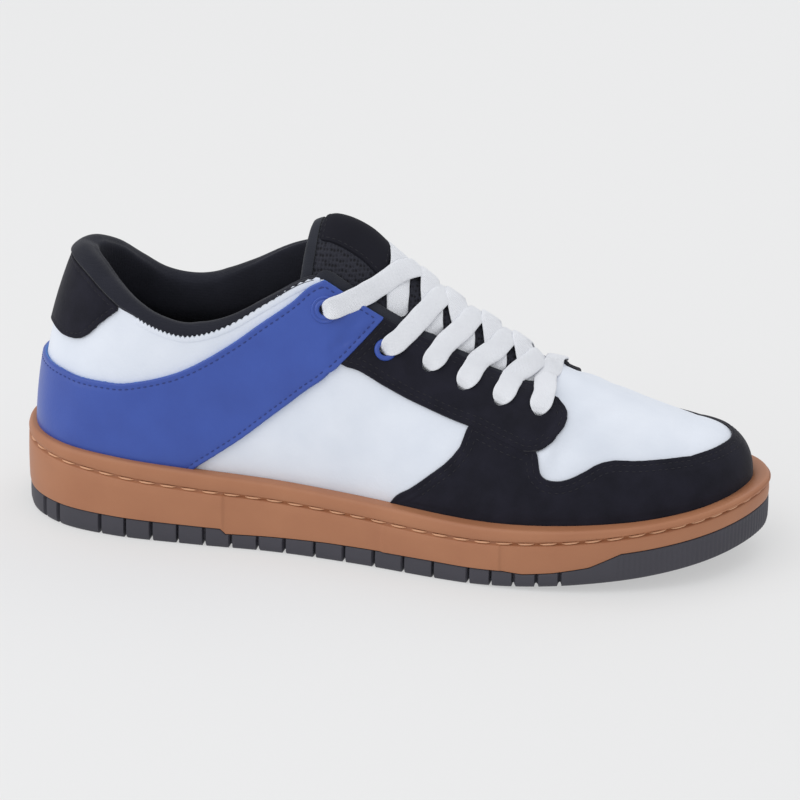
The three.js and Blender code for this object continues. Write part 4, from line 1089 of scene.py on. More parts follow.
# %% [markdown]
# ## The tread
# The dark tread rubber shows as a band under the cup: lugs with narrow grooves between them, and a taller bumper
# round the toe with fine upright ribs. The lugs stand in groups of even pitch, closer under the ball than under
# the waist. Grooves and ribs are depths of the same profile, so they run round the lower edge and in under the
# sole as they do when the rubber is moulded.

# %% Grooves, bumper ribs and the tread's profile
LUG_GROUPS = table(["first", "pitch", "count"], [(-24.7, 7.0, 2), (1.4, 10.8, 8), (89.4, 12.2, 5), (152.5, 9.0, 5)])
GROOVE_HALF = 0.62
GROOVE_DEPTH = 2.0
LUG_LENGTH = 16.0
RIB_PITCH = 2.1
RIB_DEPTH = 0.28
BUMPER_START = 0.765
WAIST_START, WAIST_END, WAIST_RECESS = 61.0, 118.0, 1.2

groove_places = np.concatenate([first + pitch * np.arange(int(count)) for first, pitch, count in
                                zip(LUG_GROUPS["first"], LUG_GROUPS["pitch"], LUG_GROUPS["count"])])


def groove_depth(run):
    """1 in the middle of a groove, 0 on a lug."""
    point, out = outline_at(run)
    steep = np.maximum(np.abs(out[..., 1]), 0.35)
    away = np.min(np.abs(point[..., 0][..., None] - groove_places), axis=-1) * steep
    return np.clip((GROOVE_HALF - away) / 0.3, 0, 1)


tread_runs = round_trip(half_stations(0.42))
tread_xy, tread_out = outline_at(tread_runs)
tread_x = tread_xy[:, 0]
groove = groove_depth(tread_runs) * GROOVE_DEPTH
on_bumper = np.clip((np.abs(tread_runs) - BUMPER_START) * SIDE_LENGTH / 2, 0, 1)
rib_wave = 0.5 - 0.5 * np.cos(2 * math.pi * np.abs(tread_runs) * SIDE_LENGTH / RIB_PITCH)
ribs = on_bumper * RIB_DEPTH * rib_wave
level_ground = ground(tread_x)
band_top = tread_top(tread_runs, tread_x)
band_height = band_top - level_ground
plate_height = level_ground + TREAD_PLATE


def recess(x):
    share = np.clip((x - WAIST_START) / (WAIST_END - WAIST_START), 0, 1)
    return WAIST_RECESS * np.sqrt(np.sin(math.pi * share))


tread = [at_height(spine(tread_runs), ground(spine(tread_runs)[:, 0]) + TREAD_PLATE)]
tread.append(at_height(inside(tread_runs, ribs * 0 + BUMPER_WIDTH + 0.5), plate_height))
tread.append(at_height(inside(tread_runs, ribs * 0 + BUMPER_WIDTH), band_top))
tread.append(at_height(inside(tread_runs, 0.95 + groove), band_top))
tread.append(at_height(inside(tread_runs, 0.62 + groove), band_top - 0.3))
for share in (0.85, 0.5, 0.25):
    inset = 0.55 + groove + ribs - 0.12 * math.sin(math.pi * share)
    tread.append(at_height(inside(tread_runs, inset), level_ground + share * band_height))
tread.append(at_height(inside(tread_runs, 0.85 + groove + 0.5 * ribs), level_ground + groove * 0.6 + 0.75))
tread.append(at_height(inside(tread_runs, 1.7 + groove), level_ground + groove))
for inset in (6.0, 11.0, LUG_LENGTH - 0.6):
    place = inside(tread_runs, ribs * 0 + inset)
    tread.append(at_height(place, ground(place[:, 0]) + np.maximum(groove, recess(place[:, 0]) * (inset > 10))))
for inset in (LUG_LENGTH, LUG_LENGTH + 1.2):
    place = inside(tread_runs, ribs * 0 + inset)
    tread.append(at_height(place, ground(place[:, 0]) + recess(place[:, 0])))
tread.append(at_height(spine(tread_runs), ground(spine(tread_runs)[:, 0]) + recess(spine(tread_runs)[:, 0])))
tread_points = np.stack(tread, 1)
tread_piece = make_piece("tread_sole", tread_points, grid_faces(*tread_points.shape[:2], round_rows=True),
                         tread_rubber, sharp=35)
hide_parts("outsole")
report(tread_piece)

# %% [markdown]
# ## The insole
# A cloth-covered board fills the floor of the shoe. Only its heel shows, deep in the collar. It is a ring of
# points down the inner wall with a rounded upper edge.

# %% The insole
board_runs = round_trip(half_stations(2.5))
low_ring = skin(board_runs, 0.0, -UPPER_WALL - GAP)
high_ring = skin(board_runs, 0.15, -UPPER_WALL - GAP)
floor_height = side_height("floor", low_ring[:, 0])


def board_ring(height, inset=0.0):
    share = (height / (high_ring[:, 2] - low_ring[:, 2]))[:, None]
    place = low_ring + share * (high_ring - low_ring)
    _, out_way = outline_at(board_runs)
    return at_height(place[:, :2] - out_way * inset, floor_height + height)


spine_xy = spine(board_runs)
spine_height = side_height("floor", spine_xy[:, 0])
board = [at_height(spine_xy, spine_height + INSOLE_THICKNESS - 0.6)]
board.append(at_height(0.5 * spine_xy + 0.5 * low_ring[:, :2], (spine_height + floor_height) / 2 + INSOLE_THICKNESS - 0.5))
board.append(board_ring(INSOLE_THICKNESS, 1.6))
board.append(board_ring(INSOLE_THICKNESS - 0.4, 0.35))
board.append(board_ring(INSOLE_THICKNESS - 1.2))
board.append(board_ring(0.0))
board.append(at_height(spine_xy, spine_height))
board_points = np.stack(board, 1)
insole = make_piece("insole_board", board_points, grid_faces(*board_points.shape[:2], round_rows=True), dark_lining)
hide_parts("insole")
report(insole)

# %% [markdown]
# ## The padded collar
# The collar is a tube of foam in knit cloth, turned over the lining side of the edge. It stands a few millimetres
# above the leather and thins out towards the eyestays. The foam is held all along, so it has no slack for a cloth
# simulation to find: its section is drawn as a closed curve through ten points, the same ten as in the solid.

# %% Closed curves through a few points
def closed_curve(controls, per_span):
    """controls: (places, points, 3). A smooth ring through each place's points."""
    count = controls.shape[1]
    t = (np.arange(per_span) / per_span)[None, :, None]
    spans = []
    for k in range(count):
        before, start, end, after = (controls[:, (k + j) % count][:, None] for j in (-1, 0, 1, 2))
        spans.append(hermite(t, start, end, (end - before) / 2, (after - start) / 2))
    return np.concatenate(spans, 1)


def tube_faces(rows, columns):
    faces = list(grid_faces(rows, columns, round_columns=True))
    return faces + [list(range(columns))[::-1], list(range((rows - 1) * columns, rows * columns))]


# %% The collar's roll
ROLL_THICKNESS = 8.0
ROLL_RISE = 5.0
ROLL_THINS_FROM = 0.3
ROLL_END = 0.431
roll_runs = np.linspace(-ROLL_END, ROLL_END, 300)
thinned = np.clip((np.abs(roll_runs) - ROLL_THINS_FROM) / (COLLAR_END - ROLL_THINS_FROM), 0, 1)
roll_thick = ROLL_THICKNESS * (1 - 0.72 * thinned)
roll_rise = ROLL_RISE * (1 - 0.85 * thinned)
inward = -rib_normal(roll_runs, 0.97)
inward[:, 2] = 0
inward = unit(inward)
collar_edge = skin(roll_runs, 1.0, 0.0)


def over_edge(deep, up):
    return collar_edge + inward * np.asarray(deep)[..., None] + np.stack([0 * roll_rise, 0 * roll_rise, up], -1)


def on_wall(rise, share):
    return skin(roll_runs, rise, -UPPER_WALL - GAP - roll_thick * share)


wall_edge = 0 * roll_rise + UPPER_WALL
# At the heel the roll bulges out over the tab's upper cut.
over_tab = 1.5 * np.clip((0.195 - np.abs(roll_runs)) / 0.03, 0, 1)
roll_section = np.stack([
    on_wall(0.73, 0), on_wall(0.84, 0), on_wall(0.95, 0), over_edge(0.3 * wall_edge - over_tab, 0.05 * roll_rise - 0.3 * over_tab),
    over_edge(-0.2 * wall_edge - 0.8 * over_tab, 0.45 * roll_rise - 0.2 * over_tab), over_edge(0.34 * roll_thick, roll_rise),
    over_edge(0.85 * roll_thick, 0.8 * roll_rise), over_edge(roll_thick + 0.7 * wall_edge, 0.1 * roll_rise),
    on_wall(0.84, 1), on_wall(0.73, 0.55)], 1)
roll_points = closed_curve(roll_section, 6)
roll = make_piece("collar_roll", roll_points, tube_faces(*roll_points.shape[:2]), dark_knit, sharp=80)
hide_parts("collar_padding")
report(roll)

# %% [markdown]
# ## The pinked edge and the throat's binding
# Where the white leather meets the roll its edge is pinked: cut with shears into small teeth. Along the throat
# the raw edge is bound with a narrow grey tape instead. The teeth are a thin strip whose top goes up and down at
# each half pitch, and the tape is a flattened tube along the edge.

# %% Teeth along the collar
TOOTH_PITCH = 2.4
TOOTH_HEIGHT = 1.3
TOOTH_THICKNESS = 0.45


def teeth(name, start, end):
    length = abs(end - start) * SIDE_LENGTH
    count = 2 * int(length / TOOTH_PITCH)
    runs = np.linspace(start, end, count + 1)
    # Near the throat the roll leans over the edge, so the notches are less deep.
    notch = 0.1 + 0.55 * np.clip((np.abs(runs) - 0.395) / 0.02, 0, 1)
    tall = np.where(np.arange(count + 1) % 2 == 0, notch, TOOTH_HEIGHT)[:, None]
    base = skin(runs, 0.975, 0.0)
    rim_way = unit(skin(runs, 1.0, 0.0) - base)
    normal = rib_normal(runs, 0.97)
    inwards = np.array([0, 0, 1.0]) - 0.3 * normal
    tip = skin(runs, 1.0, 0.1) + tall * unit(rim_way + 0.6 * unit(inwards))
    outer = [base + normal * 0.2, skin(runs, 0.99, 0.42), tip + 0.25 * normal]
    inner = [tip - (TOOTH_THICKNESS - 0.25) * normal, skin(runs, 0.99, -0.3), base - 0.3 * normal]
    points = np.stack(outer + inner, 1)
    piece = make_piece(name, points, tube_faces(*points.shape[:2]), white_leather, sharp=30)
    return piece


report(teeth("pinked_edge_outer", -0.2, -0.436))
report(teeth("pinked_edge_inner", 0.2, 0.436))

# %% The tape along the throat
TAPE_HALF_WIDTH = 2.4
TAPE_HALF_THICKNESS = 1.0
TAPE_END = 0.672


def throat_tape(name, side):
    runs = side * np.linspace(0.424, TAPE_END, 120)
    edge = skin(runs, 1.0, -0.5)
    normal = rib_normal(runs, 0.97)
    way = unit(np.gradient(edge, axis=0))
    outwards = unit(np.cross(way, normal))
    rising = np.sum(outwards * (edge - skin(runs, 0.95, -0.5)), -1, keepdims=True)
    outwards = outwards * np.where(rising < 0, -1, 1)
    fade = np.clip((np.abs(runs) - 0.424) / 0.02, 0.3, 1)[:, None, None]
    turns = np.linspace(0, 2 * math.pi, 18, endpoint=False)
    flat = np.sign(np.sin(turns)) * np.abs(np.sin(turns)) ** 0.8
    lean = outwards - 0.25 * normal
    points = (edge[:, None] + 1.55 * fade * lean[:, None]
              + fade * TAPE_HALF_THICKNESS * np.cos(turns)[None, :, None] * normal[:, None]
              + fade * TAPE_HALF_WIDTH * flat[None, :, None] * lean[:, None])
    piece = make_piece(name, points, tube_faces(*points.shape[:2]), binding_cloth, sharp=80)
    return piece


report(throat_tape("throat_tape_outer", -1))
report(throat_tape("throat_tape_inner", 1))

# %% [markdown]
# ## The tongue
# The tongue is foam between spacer mesh and lining, arched high under the laces. Its surface comes from the same
# table as the solid: a crest line, a half width and the slope of its flanks. The mesh cells are in the bump, with
# painted shade in their holes, but the padded edge, the bound end and the sewn label are shapes of their own. The label
# stays plain.

# %% The tongue's surface
TONGUE = table(["at", "along", "crest", "half", "steep", "thick"], [
    (0, 0.765, 0.53, 0.16, 1.3, 0.33), (0.08, 0.735, 0.568, 0.2, 1.65, 0.4), (0.14, 0.71, 0.62, 0.21, 2, 0.4),
    (0.22, 0.683, 0.7, 0.215, 2.35, 0.47), (0.36, 0.63, 0.795, 0.22, 2.5, 0.53),
    (0.52, 0.563, 0.905, 0.225, 2.55, 0.6), (0.68, 0.497, 1.04, 0.225, 2.6, 0.67),
    (0.8, 0.46, 1.122, 0.225, 2.3, 0.8), (0.92, 0.42, 1.158, 0.215, 2, 1), (1, 0.392, 1.135, 0.2, 1.7, 0.87)])
TONGUE_THICKNESS = 7.5
TONGUE_ROUNDNESS = 14.0


def tongue_surface(at, across):
    at, across = np.broadcast_arrays(np.asarray(at, float), np.asarray(across, float))
    x = x_of(smooth(TONGUE, "along", at))
    y = across * smooth(TONGUE, "half", at) * BALL_WIDTH
    fall = smooth(TONGUE, "steep", at) * (np.hypot(y, TONGUE_ROUNDNESS) - TONGUE_ROUNDNESS)
    return np.stack([x, ridge_y(x) + y, smooth(TONGUE, "crest", at) * COLLAR_HEIGHT - fall], -1)


def tongue_normal(at, across):
    at = np.clip(at, 0.02, 0.93)
    ahead = tongue_surface(at + 0.02, across) - tongue_surface(at - 0.02, across)
    aside = tongue_surface(at, across + 0.02) - tongue_surface(at, across - 0.02)
    normal = unit(np.cross(ahead, aside))
    return normal * np.where(normal[..., 2:] < 0, -1, 1)


def on_tongue(at, across, height):
    height = np.asarray(height, float)
    return tongue_surface(at, across) + tongue_normal(at, across) * height[..., None]


# %% The tongue's body
END_ROUND = 0.035
tongue_at = np.r_[np.linspace(0, 0.955, 130), 0.955 + 0.045 * np.sin(np.linspace(0.05, math.pi / 2, 12))]
across_top = np.sin(np.linspace(-math.pi / 2, math.pi / 2, 46))
across_top = 0.75 * across_top + 0.25 * np.linspace(-1, 1, 46)
thick = smooth(TONGUE, "thick", tongue_at) * TONGUE_THICKNESS
edge_share = np.clip((np.abs(across_top) - 0.86) / 0.14, 0, 1) ** 2
end_share = np.clip((tongue_at - (1 - END_ROUND)) / END_ROUND, 0, 1)
end_round = (1 - np.sqrt(1 - end_share ** 2))[:, None]
pad = 0.35 * np.sin(tongue_at * 9 * math.pi)[:, None] * (np.abs(across_top) < 2)
over = -thick[:, None] * np.maximum(0.3 * edge_share[None, :], 0.45 * end_round)
below = -thick[:, None] * (1 - np.maximum(0.35 * edge_share[None, :], 0.45 * end_round))
tongue_points = np.concatenate([on_tongue(tongue_at[:, None], across_top[None, :], over),
                                on_tongue(tongue_at[:, None], across_top[None, ::-1], below[:, ::-1])], 1)
tongue = make_piece("tongue_body", tongue_points, tube_faces(*tongue_points.shape[:2]), spacer_mesh, sharp=70)
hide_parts("tongue")
report(tongue)

# %% Its bound end and its label
BINDING_REACH = 0.024
binding_across = np.linspace(-0.99, 0.99, 90)
turn = np.linspace(-math.pi / 2, math.pi / 2, 9)
end_thick = float(TONGUE["thick"][-1]) * TONGUE_THICKNESS
end_length = 0.028 * LENGTH * 0.35
outside = [on_tongue(1 - BINDING_REACH, binding_across, 0.1 + 0 * binding_across),
           on_tongue(1 - BINDING_REACH, binding_across, 0.62 + 0 * binding_across),
           on_tongue(0.988, binding_across, 0.72 + 0 * binding_across)]
centre = on_tongue(0.99, binding_across, -end_thick / 2 + 0 * binding_across)
backwards = unit(on_tongue(1.0, binding_across, 0 * binding_across)
                 - on_tongue(0.96, binding_across, 0 * binding_across))
upwards = tongue_normal(0.99, binding_across)
for a in turn[::-1]:
    outside.append(centre + upwards * (end_thick / 2 + 0.6) * math.sin(a) + backwards * (1.4 + 1.9 * math.cos(a)))
outside.append(on_tongue(0.985, binding_across, -end_thick - 0.5 + 0 * binding_across))
outside.append(on_tongue(1 - BINDING_REACH, binding_across, -end_thick - 0.3 + 0 * binding_across))
outside.append(on_tongue(1 - BINDING_REACH, binding_across, -end_thick / 2 + 0 * binding_across))
binding_points = np.stack(outside, 1)
binding = make_piece("tongue_binding", binding_points, tube_faces(*binding_points.shape[:2]), binding_cloth,
                     sharp=70)
report(binding)

LABEL_THICKNESS = 0.8
LABEL_AT = (0.69, 0.968)
LABEL_ACROSS = (-0.46, 0.46)
label_share = np.linspace(0, 1, 41)
label_side = np.linspace(-1, 1, 61)
corner = np.clip((np.abs(label_share - 0.5) - 0.4) / 0.1, 0, 1)
pull_in = 1 - 0.12 * (1 - np.sqrt(1 - corner ** 2))
label_at = LABEL_AT[0] + (LABEL_AT[1] - LABEL_AT[0]) * label_share
middle = sum(LABEL_ACROSS) / 2
label_across = middle + (LABEL_ACROSS[1] - LABEL_ACROSS[0]) / 2 * label_side[None, :] * pull_in[:, None]
rim_share = np.maximum(np.abs(label_side)[None, :], np.abs(2 * label_share - 1)[:, None])
label_height = 0.1 + LABEL_THICKNESS * np.sqrt(1 - np.clip((rim_share - 0.96) / 0.04, 0, 1) ** 2)
wide_at = np.broadcast_to(label_at[:, None], label_across.shape)
face = on_tongue(wide_at, label_across, label_height)
backing = on_tongue(wide_at, label_across, -0.4 + 0 * label_height)
label_points = np.concatenate([face, backing[:, ::-1]], 1)
label = make_piece("tongue_label_patch", label_points, tube_faces(*label_points.shape[:2]), smooth_black, sharp=50)
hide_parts("tongue_label")
report(label)
border = [(0.05, s) for s in np.linspace(-0.93, 0.93, 60)] + [(u, 0.93) for u in np.linspace(0.05, 0.95, 40)]
border += [(0.95, s) for s in np.linspace(0.93, -0.93, 60)] + [(u, -0.93) for u in np.linspace(0.95, 0.05, 40)]
border = np.array(border)
border_at = LABEL_AT[0] + (LABEL_AT[1] - LABEL_AT[0]) * border[:, 0]
border_across = middle + (LABEL_ACROSS[1] - LABEL_ACROSS[0]) / 2 * border[:, 1] * 0.97
border_line = on_tongue(border_at, border_across, 0.1 + LABEL_THICKNESS + 0.02 + 0 * border_at)
label_seam = stitch_mesh("label_seam", border_line, tongue_normal(border_at, border_across), True, 1.8, 0.7, 0.2,
                         black_thread)

# %% [markdown]
# ## Eyelets
# The top eyelet of each side is pressed into the blue leather as two rings, the second has a blue ring round its
# hole, and the four below are plain punched holes. The holes are real: one boolean cut for each panel, with
# short pins set square to the last. The rings are small turned profiles laid on the leather.

# %% Punch the holes
EYELETS = table(["at", "rise", "cross"], [
    (0.439, 0.85, 0.502), (0.501, 0.81, 0.556), (0.551, 0.82, 0.602), (0.592, 0.79, 0.648),
    (0.634, 0.77, 0.69), (0.676, 0.74, 0.7)])
HOLE_RADIUS = 2.3
LAST_EYELET = len(EYELETS["at"]) - 1


def eyelet_frame(side, k):
    """Centre on the last, outward normal, and two ways across it."""
    run, rise = side * EYELETS["at"][k], EYELETS["rise"][k]
    centre = skin(run, rise, 0.0)
    normal = rib_normal(run, rise)
    one = unit(np.cross(normal, [0, 0, 1.0]))
    return centre, normal, one, np.cross(normal, one)


def turned(frame_of, profile, segments=40):
    """Points of a turned profile: rows of (radius, height) about the eyelet's normal."""
    centre, normal, one, two = frame_of
    angle = np.linspace(0, 2 * math.pi, segments, endpoint=False)
    round_way = np.cos(angle)[:, None] * one + np.sin(angle)[:, None] * two
    rows = [centre + radius * round_way + height * normal for radius, height in profile]
    return np.stack(rows, 0)


def pins(side):
    points, faces = [], []
    for k in range(LAST_EYELET + 1):
        shape = turned(eyelet_frame(side, k), [(HOLE_RADIUS, -3.2), (HOLE_RADIUS, 4.0)], 28)
        first = sum(len(p) for p in points)
        points.append(shape.reshape(-1, 3))
        faces += list(grid_faces(2, 28, round_columns=True, first=first))
        faces += [list(range(first, first + 28)), list(range(first + 28, first + 56))[::-1]]
    mesh = bpy.data.meshes.new("pins")
    mesh.from_pydata((np.concatenate(points) * MM).tolist(), [], [list(map(int, f)) for f in faces])
    work = bmesh.new()
    work.from_mesh(mesh)
    bmesh.ops.recalc_face_normals(work, faces=work.faces)
    work.to_mesh(mesh)
    work.free()
    cutter = bpy.data.objects.new("pins", mesh)
    bpy.context.collection.objects.link(cutter)
    return cutter


def punch(piece, cutter):
    before = len(piece.data.polygons)
    cut = piece.modifiers.new("holes", "BOOLEAN")
    cut.object = cutter
    cut.operation = "DIFFERENCE"
    cut.solver = "EXACT"
    bpy.context.view_layer.update()
    made = bpy.data.meshes.new_from_object(piece.evaluated_get(bpy.context.evaluated_depsgraph_get()))
    piece.modifiers.remove(cut)
    piece.data = made
    print(piece.name, "faces before and after the holes:", before, len(made.polygons))


for side, eyestay in ((-1, outer_eyestay), (1, inner_eyestay)):
    cutter = pins(side)
    for piece in (eyestay["piece"], band["piece"], upper):
        punch(piece, cutter)
    bpy.data.objects.remove(cutter)

# %% Turn the rings
RING_BASE = 1.0
band_top_height = band["thickness"]
stay_top_height = outer_eyestay["thickness"]
pressed = [(2.3, -0.6), (2.35, 0.1), (2.7, 0.42), (3.3, 0.5), (3.75, 0.34), (3.95, 0.05), (4.15, 0.05), (4.4, 0.3),
           (4.9, 0.4), (5.3, 0.22), (5.5, -0.25), (5.3, -0.8)]
ringed = [(2.35, -0.8), (2.4, 0.2), (2.75, 0.66), (3.4, 0.8), (4.0, 0.62), (4.35, 0.15), (4.4, -0.5), (4.2, -0.8)]
for side, word in ((-1, "outer"), (1, "inner")):
    for k, profile, height in ((0, pressed, band_top_height), (1, ringed, stay_top_height)):
        shape = turned(eyelet_frame(side, k), [(r, h + height) for r, h in profile])
        rows, count = shape.shape[:2]
        faces = grid_faces(rows, count, round_rows=True, round_columns=True)
        eyelet = make_piece(f"eyelet_ring_{word}_{k + 1}", shape, faces, blue_leather, sharp=60)
        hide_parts(f"eyelet_{word}_{k + 1}")
print("rings on the top two eyelets of each side")

# %% [markdown]
# ## The lace
# One flat cotton lace runs as a bar between the lowest eyelets and then crosses five times. At each crossing the
# strip from the outer side lies on the one from the inner side. Each strip comes up through its hole, where it is
# bunched, spreads as it turns over towards the throat, lies on the tongue and dives under the far eyestay to the
# next hole. The ends stop inside at the top eyelets. Curves with a bevel would twist at the holes, so each strip
# is skinned from its own list of places, each with its direction out of the shoe, its width and its thickness.

# %% Places along a strip
LACE_WIDTH = 8.8
LACE_THICKNESS = 1.2
BUNCHED_WIDTH, BUNCHED_THICKNESS = 4.1, 1.7
# Each pair of strips from the top. near: where the outer one passes over the throat's edge. far: where it
# goes under the inner edge. under: where the other one goes under the outer edge. meet and across: where
# the two cross on the tongue. outer and inner: where each of the two passes the tongue's crest.
LACING = table(["near", "far", "under", "meet", "across", "outer", "inner"], [
    (0.473, 0.535, 0.513, 0.655, -0.26, 0.608, 0.67), (0.53, 0.57, 0.558, 0.548, -0.33, 0.512, 0.575),
    (0.57, 0.607, 0.592, 0.447, -0.34, 0.415, 0.495), (0.61, 0.645, 0.627, 0.342, -0.35, 0.304, 0.38),
    (0.648, 0.665, 0.662, 0.232, -0.3, 0.2, 0.275)])
BAR_CREST = 0.165


def tongue_share(x):
    """The share of the tongue's length at this x."""
    shares = np.linspace(0, 1, 400)
    return float(np.interp(-x, -x_of(smooth(TONGUE, "along", shares)), shares))


def place(point, up, width=1.0):
    """width: 1 is the flat lace, 0 the lace bunched in a hole."""
    return {"point": np.asarray(point, float), "up": unit(np.asarray(up, float)), "width": width}


def over_panel(k):
    return (band_top_height if k == 0 else stay_top_height) + (0.45 if k < 2 else 0)


def by_tape(run, along, height):
    """A place beside the tape: along it from the throat's edge towards the tongue, and out from its middle."""
    runs = run + np.array([-0.002, 0, 0.002])
    edge = skin(runs, 1.0, -0.5)
    normal = rib_normal(run, 0.97)
    outwards = unit(np.cross(unit(edge[2] - edge[0]), normal))
    if outwards @ (edge[1] - skin(run, 0.95, -0.5)) < 0:
        outwards = -outwards
    lean = outwards - 0.25 * normal
    return place(edge[1] + along * lean + height * normal, normal)


def out_of_hole(side, k, edge_run, lift_at_edge=0.0):
    """Up through the hole, over its rim and on to the throat's edge."""
    centre, normal, _, _ = eyelet_frame(side, k)
    rise = EYELETS["rise"][k]
    run = side * EYELETS["at"][k]
    edge = skin(edge_run, 0.985, stay_top_height + LACE_THICKNESS)
    way = unit(edge - centre - normal * ((edge - centre) @ normal))
    top = over_panel(k)
    half_run, half_rise = run + 0.5 * (edge_run - run), rise + 0.5 * (0.985 - rise)
    resting = 0.5 * LACE_THICKNESS + 0.15
    return [
        place(centre - 2.6 * normal - 0.3 * way, -way, 0),
        place(centre + (top - 0.6) * normal - 0.6 * way, -way, 0.1),
        place(centre + (top + 0.75) * normal - 0.35 * way, 0.8 * normal - way, 0.42),
        place(centre + (top + resting + 0.5) * normal + 1.1 * way, normal - 0.25 * way, 0.74),
        place(centre + (top + resting + 0.1) * normal + 3.2 * way, normal, 0.93),
        place(skin(half_run, half_rise, stay_top_height + resting + 0.1 + 0.5 * lift_at_edge),
              rib_normal(half_run, half_rise)),
        by_tape(edge_run, 1.6, TAPE_HALF_THICKNESS + resting + 0.5 + lift_at_edge),
    ]


def into_hole(side, k, edge_run):
    """Under the far edge and up to the next hole from inside."""
    centre, normal, _, _ = eyelet_frame(side, k)
    under = -UPPER_WALL - 1.1
    edge = skin(edge_run, 0.97, under)
    way = unit(centre - edge)
    return [by_tape(edge_run, 2.6, -TAPE_HALF_THICKNESS - 0.9),
            place(skin(0.5 * (edge_run + side * EYELETS["at"][k]), 0.93, under), rib_normal(edge_run, 0.93), 0.9),
            place(centre + under * normal - 1.5 * way, normal, 0.4),
            place(centre - 0.9 * normal + 0.4 * way, way, 0.05)]


def hump(across, middle, half, height):
    """How far a strip is lifted where it lies on another one."""
    return height * max(0.0, 1 - ((across - middle) / half) ** 2) ** 0.7


def across_tongue(knots, stops, humps):
    """Places over the tongue. knots: (across, at) that the strip passes; stops: where to set a place."""
    across, at = np.array(sorted(knots)).T
    line = {"at": across, "along": at}
    places = []
    for stop in stops:
        here = float(smooth(line, "along", stop))
        height = 0.5 * LACE_THICKNESS + 0.3 + sum(hump(stop, *each) for each in humps)
        places.append(place(on_tongue(here, stop, height), tongue_normal(here, stop)))
    return places


# %% Skin the strips
def eased(rows, reach):
    """The rows with their kinks taken out, as a stiff tape takes them out; the two ends stay."""
    near = np.arange(-3 * round(reach), 3 * round(reach) + 1)
    weight = np.exp(-0.5 * (near / reach) ** 2)
    index = np.clip(np.arange(len(rows))[:, None] + near, 0, len(rows) - 1)
    mean = (rows[index] * weight[:, None]).sum(1) / weight.sum()
    held = np.clip(np.minimum(np.arange(len(rows)), np.arange(len(rows))[::-1]) / (3 * reach), 0, 1)
    return rows + held[:, None] * (mean - rows)


def strip(places, step=0.8, around=18):
    """Points of a soft flat strip through its places, and how far along and across it each point lies."""
    points = np.array([p["point"] for p in places])
    ups = np.array([p["up"] for p in places])
    widths = np.array([p["width"] for p in places])
    chord = np.sqrt(np.linalg.norm(np.diff(points, axis=0), axis=1))
    knots = np.r_[0, np.cumsum(chord)]
    rows = {"at": knots, "x": points[:, 0], "y": points[:, 1], "z": points[:, 2], "width": widths,
            "a": ups[:, 0], "b": ups[:, 1], "c": ups[:, 2]}
    fine = np.linspace(0, knots[-1], 600)
    line = np.stack([smooth(rows, c, fine) for c in "xyz"], 1)
    length = np.r_[0, np.cumsum(np.linalg.norm(np.diff(line, axis=0), axis=1))]
    want = np.linspace(0, length[-1], int(length[-1] / step))
    here = np.interp(want, length, fine)
    line = eased(np.stack([smooth(rows, c, here) for c in "xyz"], 1), 1.6 / step)
    up = unit(eased(np.stack([smooth(rows, c, here) for c in "abc"], 1), 3.5 / step))
    spread = np.clip(smooth(rows, "width", here), 0, 1)
    way = unit(np.gradient(line, axis=0))
    side = unit(np.cross(way, up))
    up = np.cross(side, way)
    ripple = 1 + 0.02 * np.sin(want / 3.1) + 0.015 * np.sin(want / 1.3)
    half_width = (BUNCHED_WIDTH + (LACE_WIDTH - BUNCHED_WIDTH) * spread) / 2 * ripple
    half_thick = (BUNCHED_THICKNESS + (LACE_THICKNESS - BUNCHED_THICKNESS) * spread ** 0.5) / 2
    angle = np.linspace(0, 2 * math.pi, around, endpoint=False)
    across = np.sign(np.cos(angle)) * np.abs(np.cos(angle)) ** 0.45
    high = np.sign(np.sin(angle)) * np.abs(np.sin(angle)) ** 0.8
    folded = spread * (1 - spread)
    camber = (0.12 * spread - 4.0 * folded)[:, None] * (1 - across[None, :] ** 2)
    ring_points = (line[:, None] + (half_width[:, None] * across)[..., None] * side[:, None]
                   + (half_thick[:, None] * high + camber)[..., None] * up[:, None])
    charts = np.stack([np.broadcast_to(want[:, None], camber.shape), half_width[:, None] * across], -1)
    return ring_points, charts


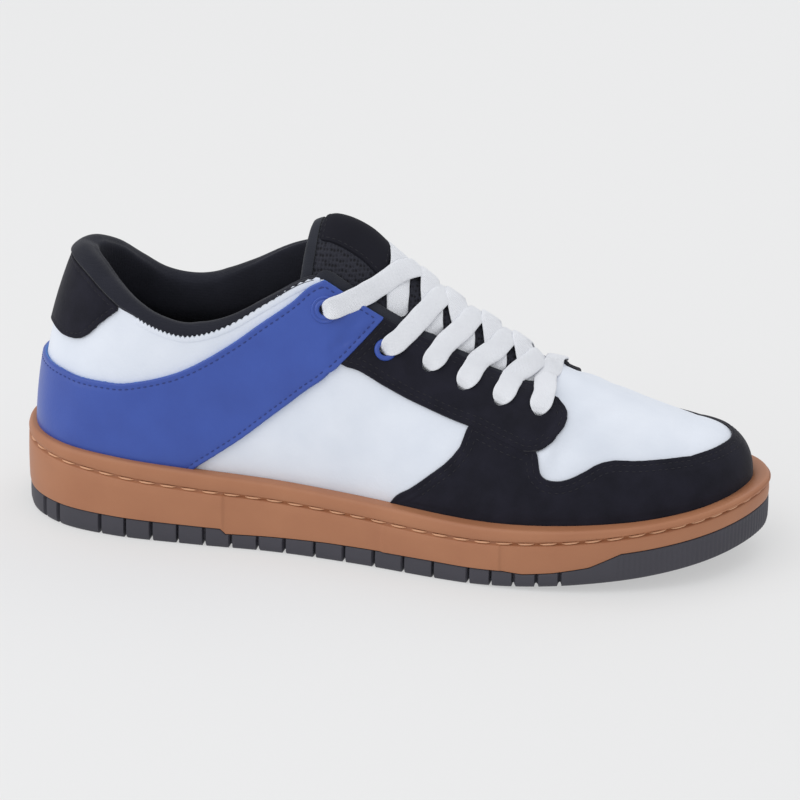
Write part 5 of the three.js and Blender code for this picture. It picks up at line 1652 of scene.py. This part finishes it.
strips = []
bar_run = EYELETS["at"][LAST_EYELET] + 0.011
bar_ends = [out_of_hole(side, LAST_EYELET, side * bar_run, 0.8) for side in (-1, 1)]
bar_middle = []
for across, height in ((-0.1, 3.5), (0.1, 3.3)):
    bar_middle.append(place(on_tongue(BAR_CREST, across, height), tongue_normal(BAR_CREST, across)))
strips.append(strip(bar_ends[0] + bar_middle + bar_ends[1][::-1]))
RIDES_OVER = 1.15 * LACE_THICKNESS
for k in range(LAST_EYELET):
    near, far, under, meet, across, outer, inner = (float(LACING[c][k]) for c in
                                                    ("near", "far", "under", "meet", "across", "outer", "inner"))
    edges = {run: tongue_share(float(skin(run, 1.0, 0.0)[0])) for run in (-near, far, -under)}
    knots = [(-0.85, edges[-near]), (across, meet), (0, outer), (0.85, edges[far])]
    stops = [*([-0.5] if k == 0 else []), across, 0.5 * across, 0, 0.22, 0.45]
    places = across_tongue(knots, stops, [(across, 0.34, RIDES_OVER)])
    strips.append(strip(out_of_hole(-1, k, -near) + places + into_hole(1, k + 1, far)))
    leaving = EYELETS["at"][k] + 0.45 * (EYELETS["at"][k + 1] - EYELETS["at"][k])
    start = tongue_share(float(skin(leaving, 1.0, 0.0)[0]))
    knots = [(-0.85, edges[-under]), (across, meet), (0, inner), (0.85, start)]
    stops = [0.5, 0.25, 0, 0.5 * across, across, -0.52]
    places = across_tongue(knots, stops, [(0.2, 0.42, RIDES_OVER if k else 0.0)])
    strips.append(strip(out_of_hole(1, k, leaving) + places + into_hole(-1, k + 1, -under)))


def join_strips(name, strips, material):
    points, faces, charts = [], [], []
    first = 0
    for shape, chart in strips:
        rows, columns = shape.shape[:2]
        faces += [[first + i for i in face] for face in tube_faces(rows, columns)]
        points.append(shape.reshape(-1, 3))
        charts.append(chart.reshape(-1, 2))
        first += rows * columns
    mesh = bpy.data.meshes.new(name)
    mesh.from_pydata((np.concatenate(points) * MM).tolist(), [], [list(map(int, f)) for f in faces])
    mesh.shade_smooth()
    chart = np.concatenate(charts)
    layer = mesh.uv_layers.new(name="length_and_width")
    corners = np.empty(len(mesh.loops), np.int32)
    mesh.loops.foreach_get("vertex_index", corners)
    layer.data.foreach_set("uv", chart[corners].astype(np.float32).ravel())
    piece = bpy.data.objects.new(name, mesh)
    bpy.context.collection.objects.link(piece)
    piece.data.materials.append(material)
    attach(piece, "root")
    return piece


lace = join_strips("flat_lace", strips, white_cotton)
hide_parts("lace")
report(lace)
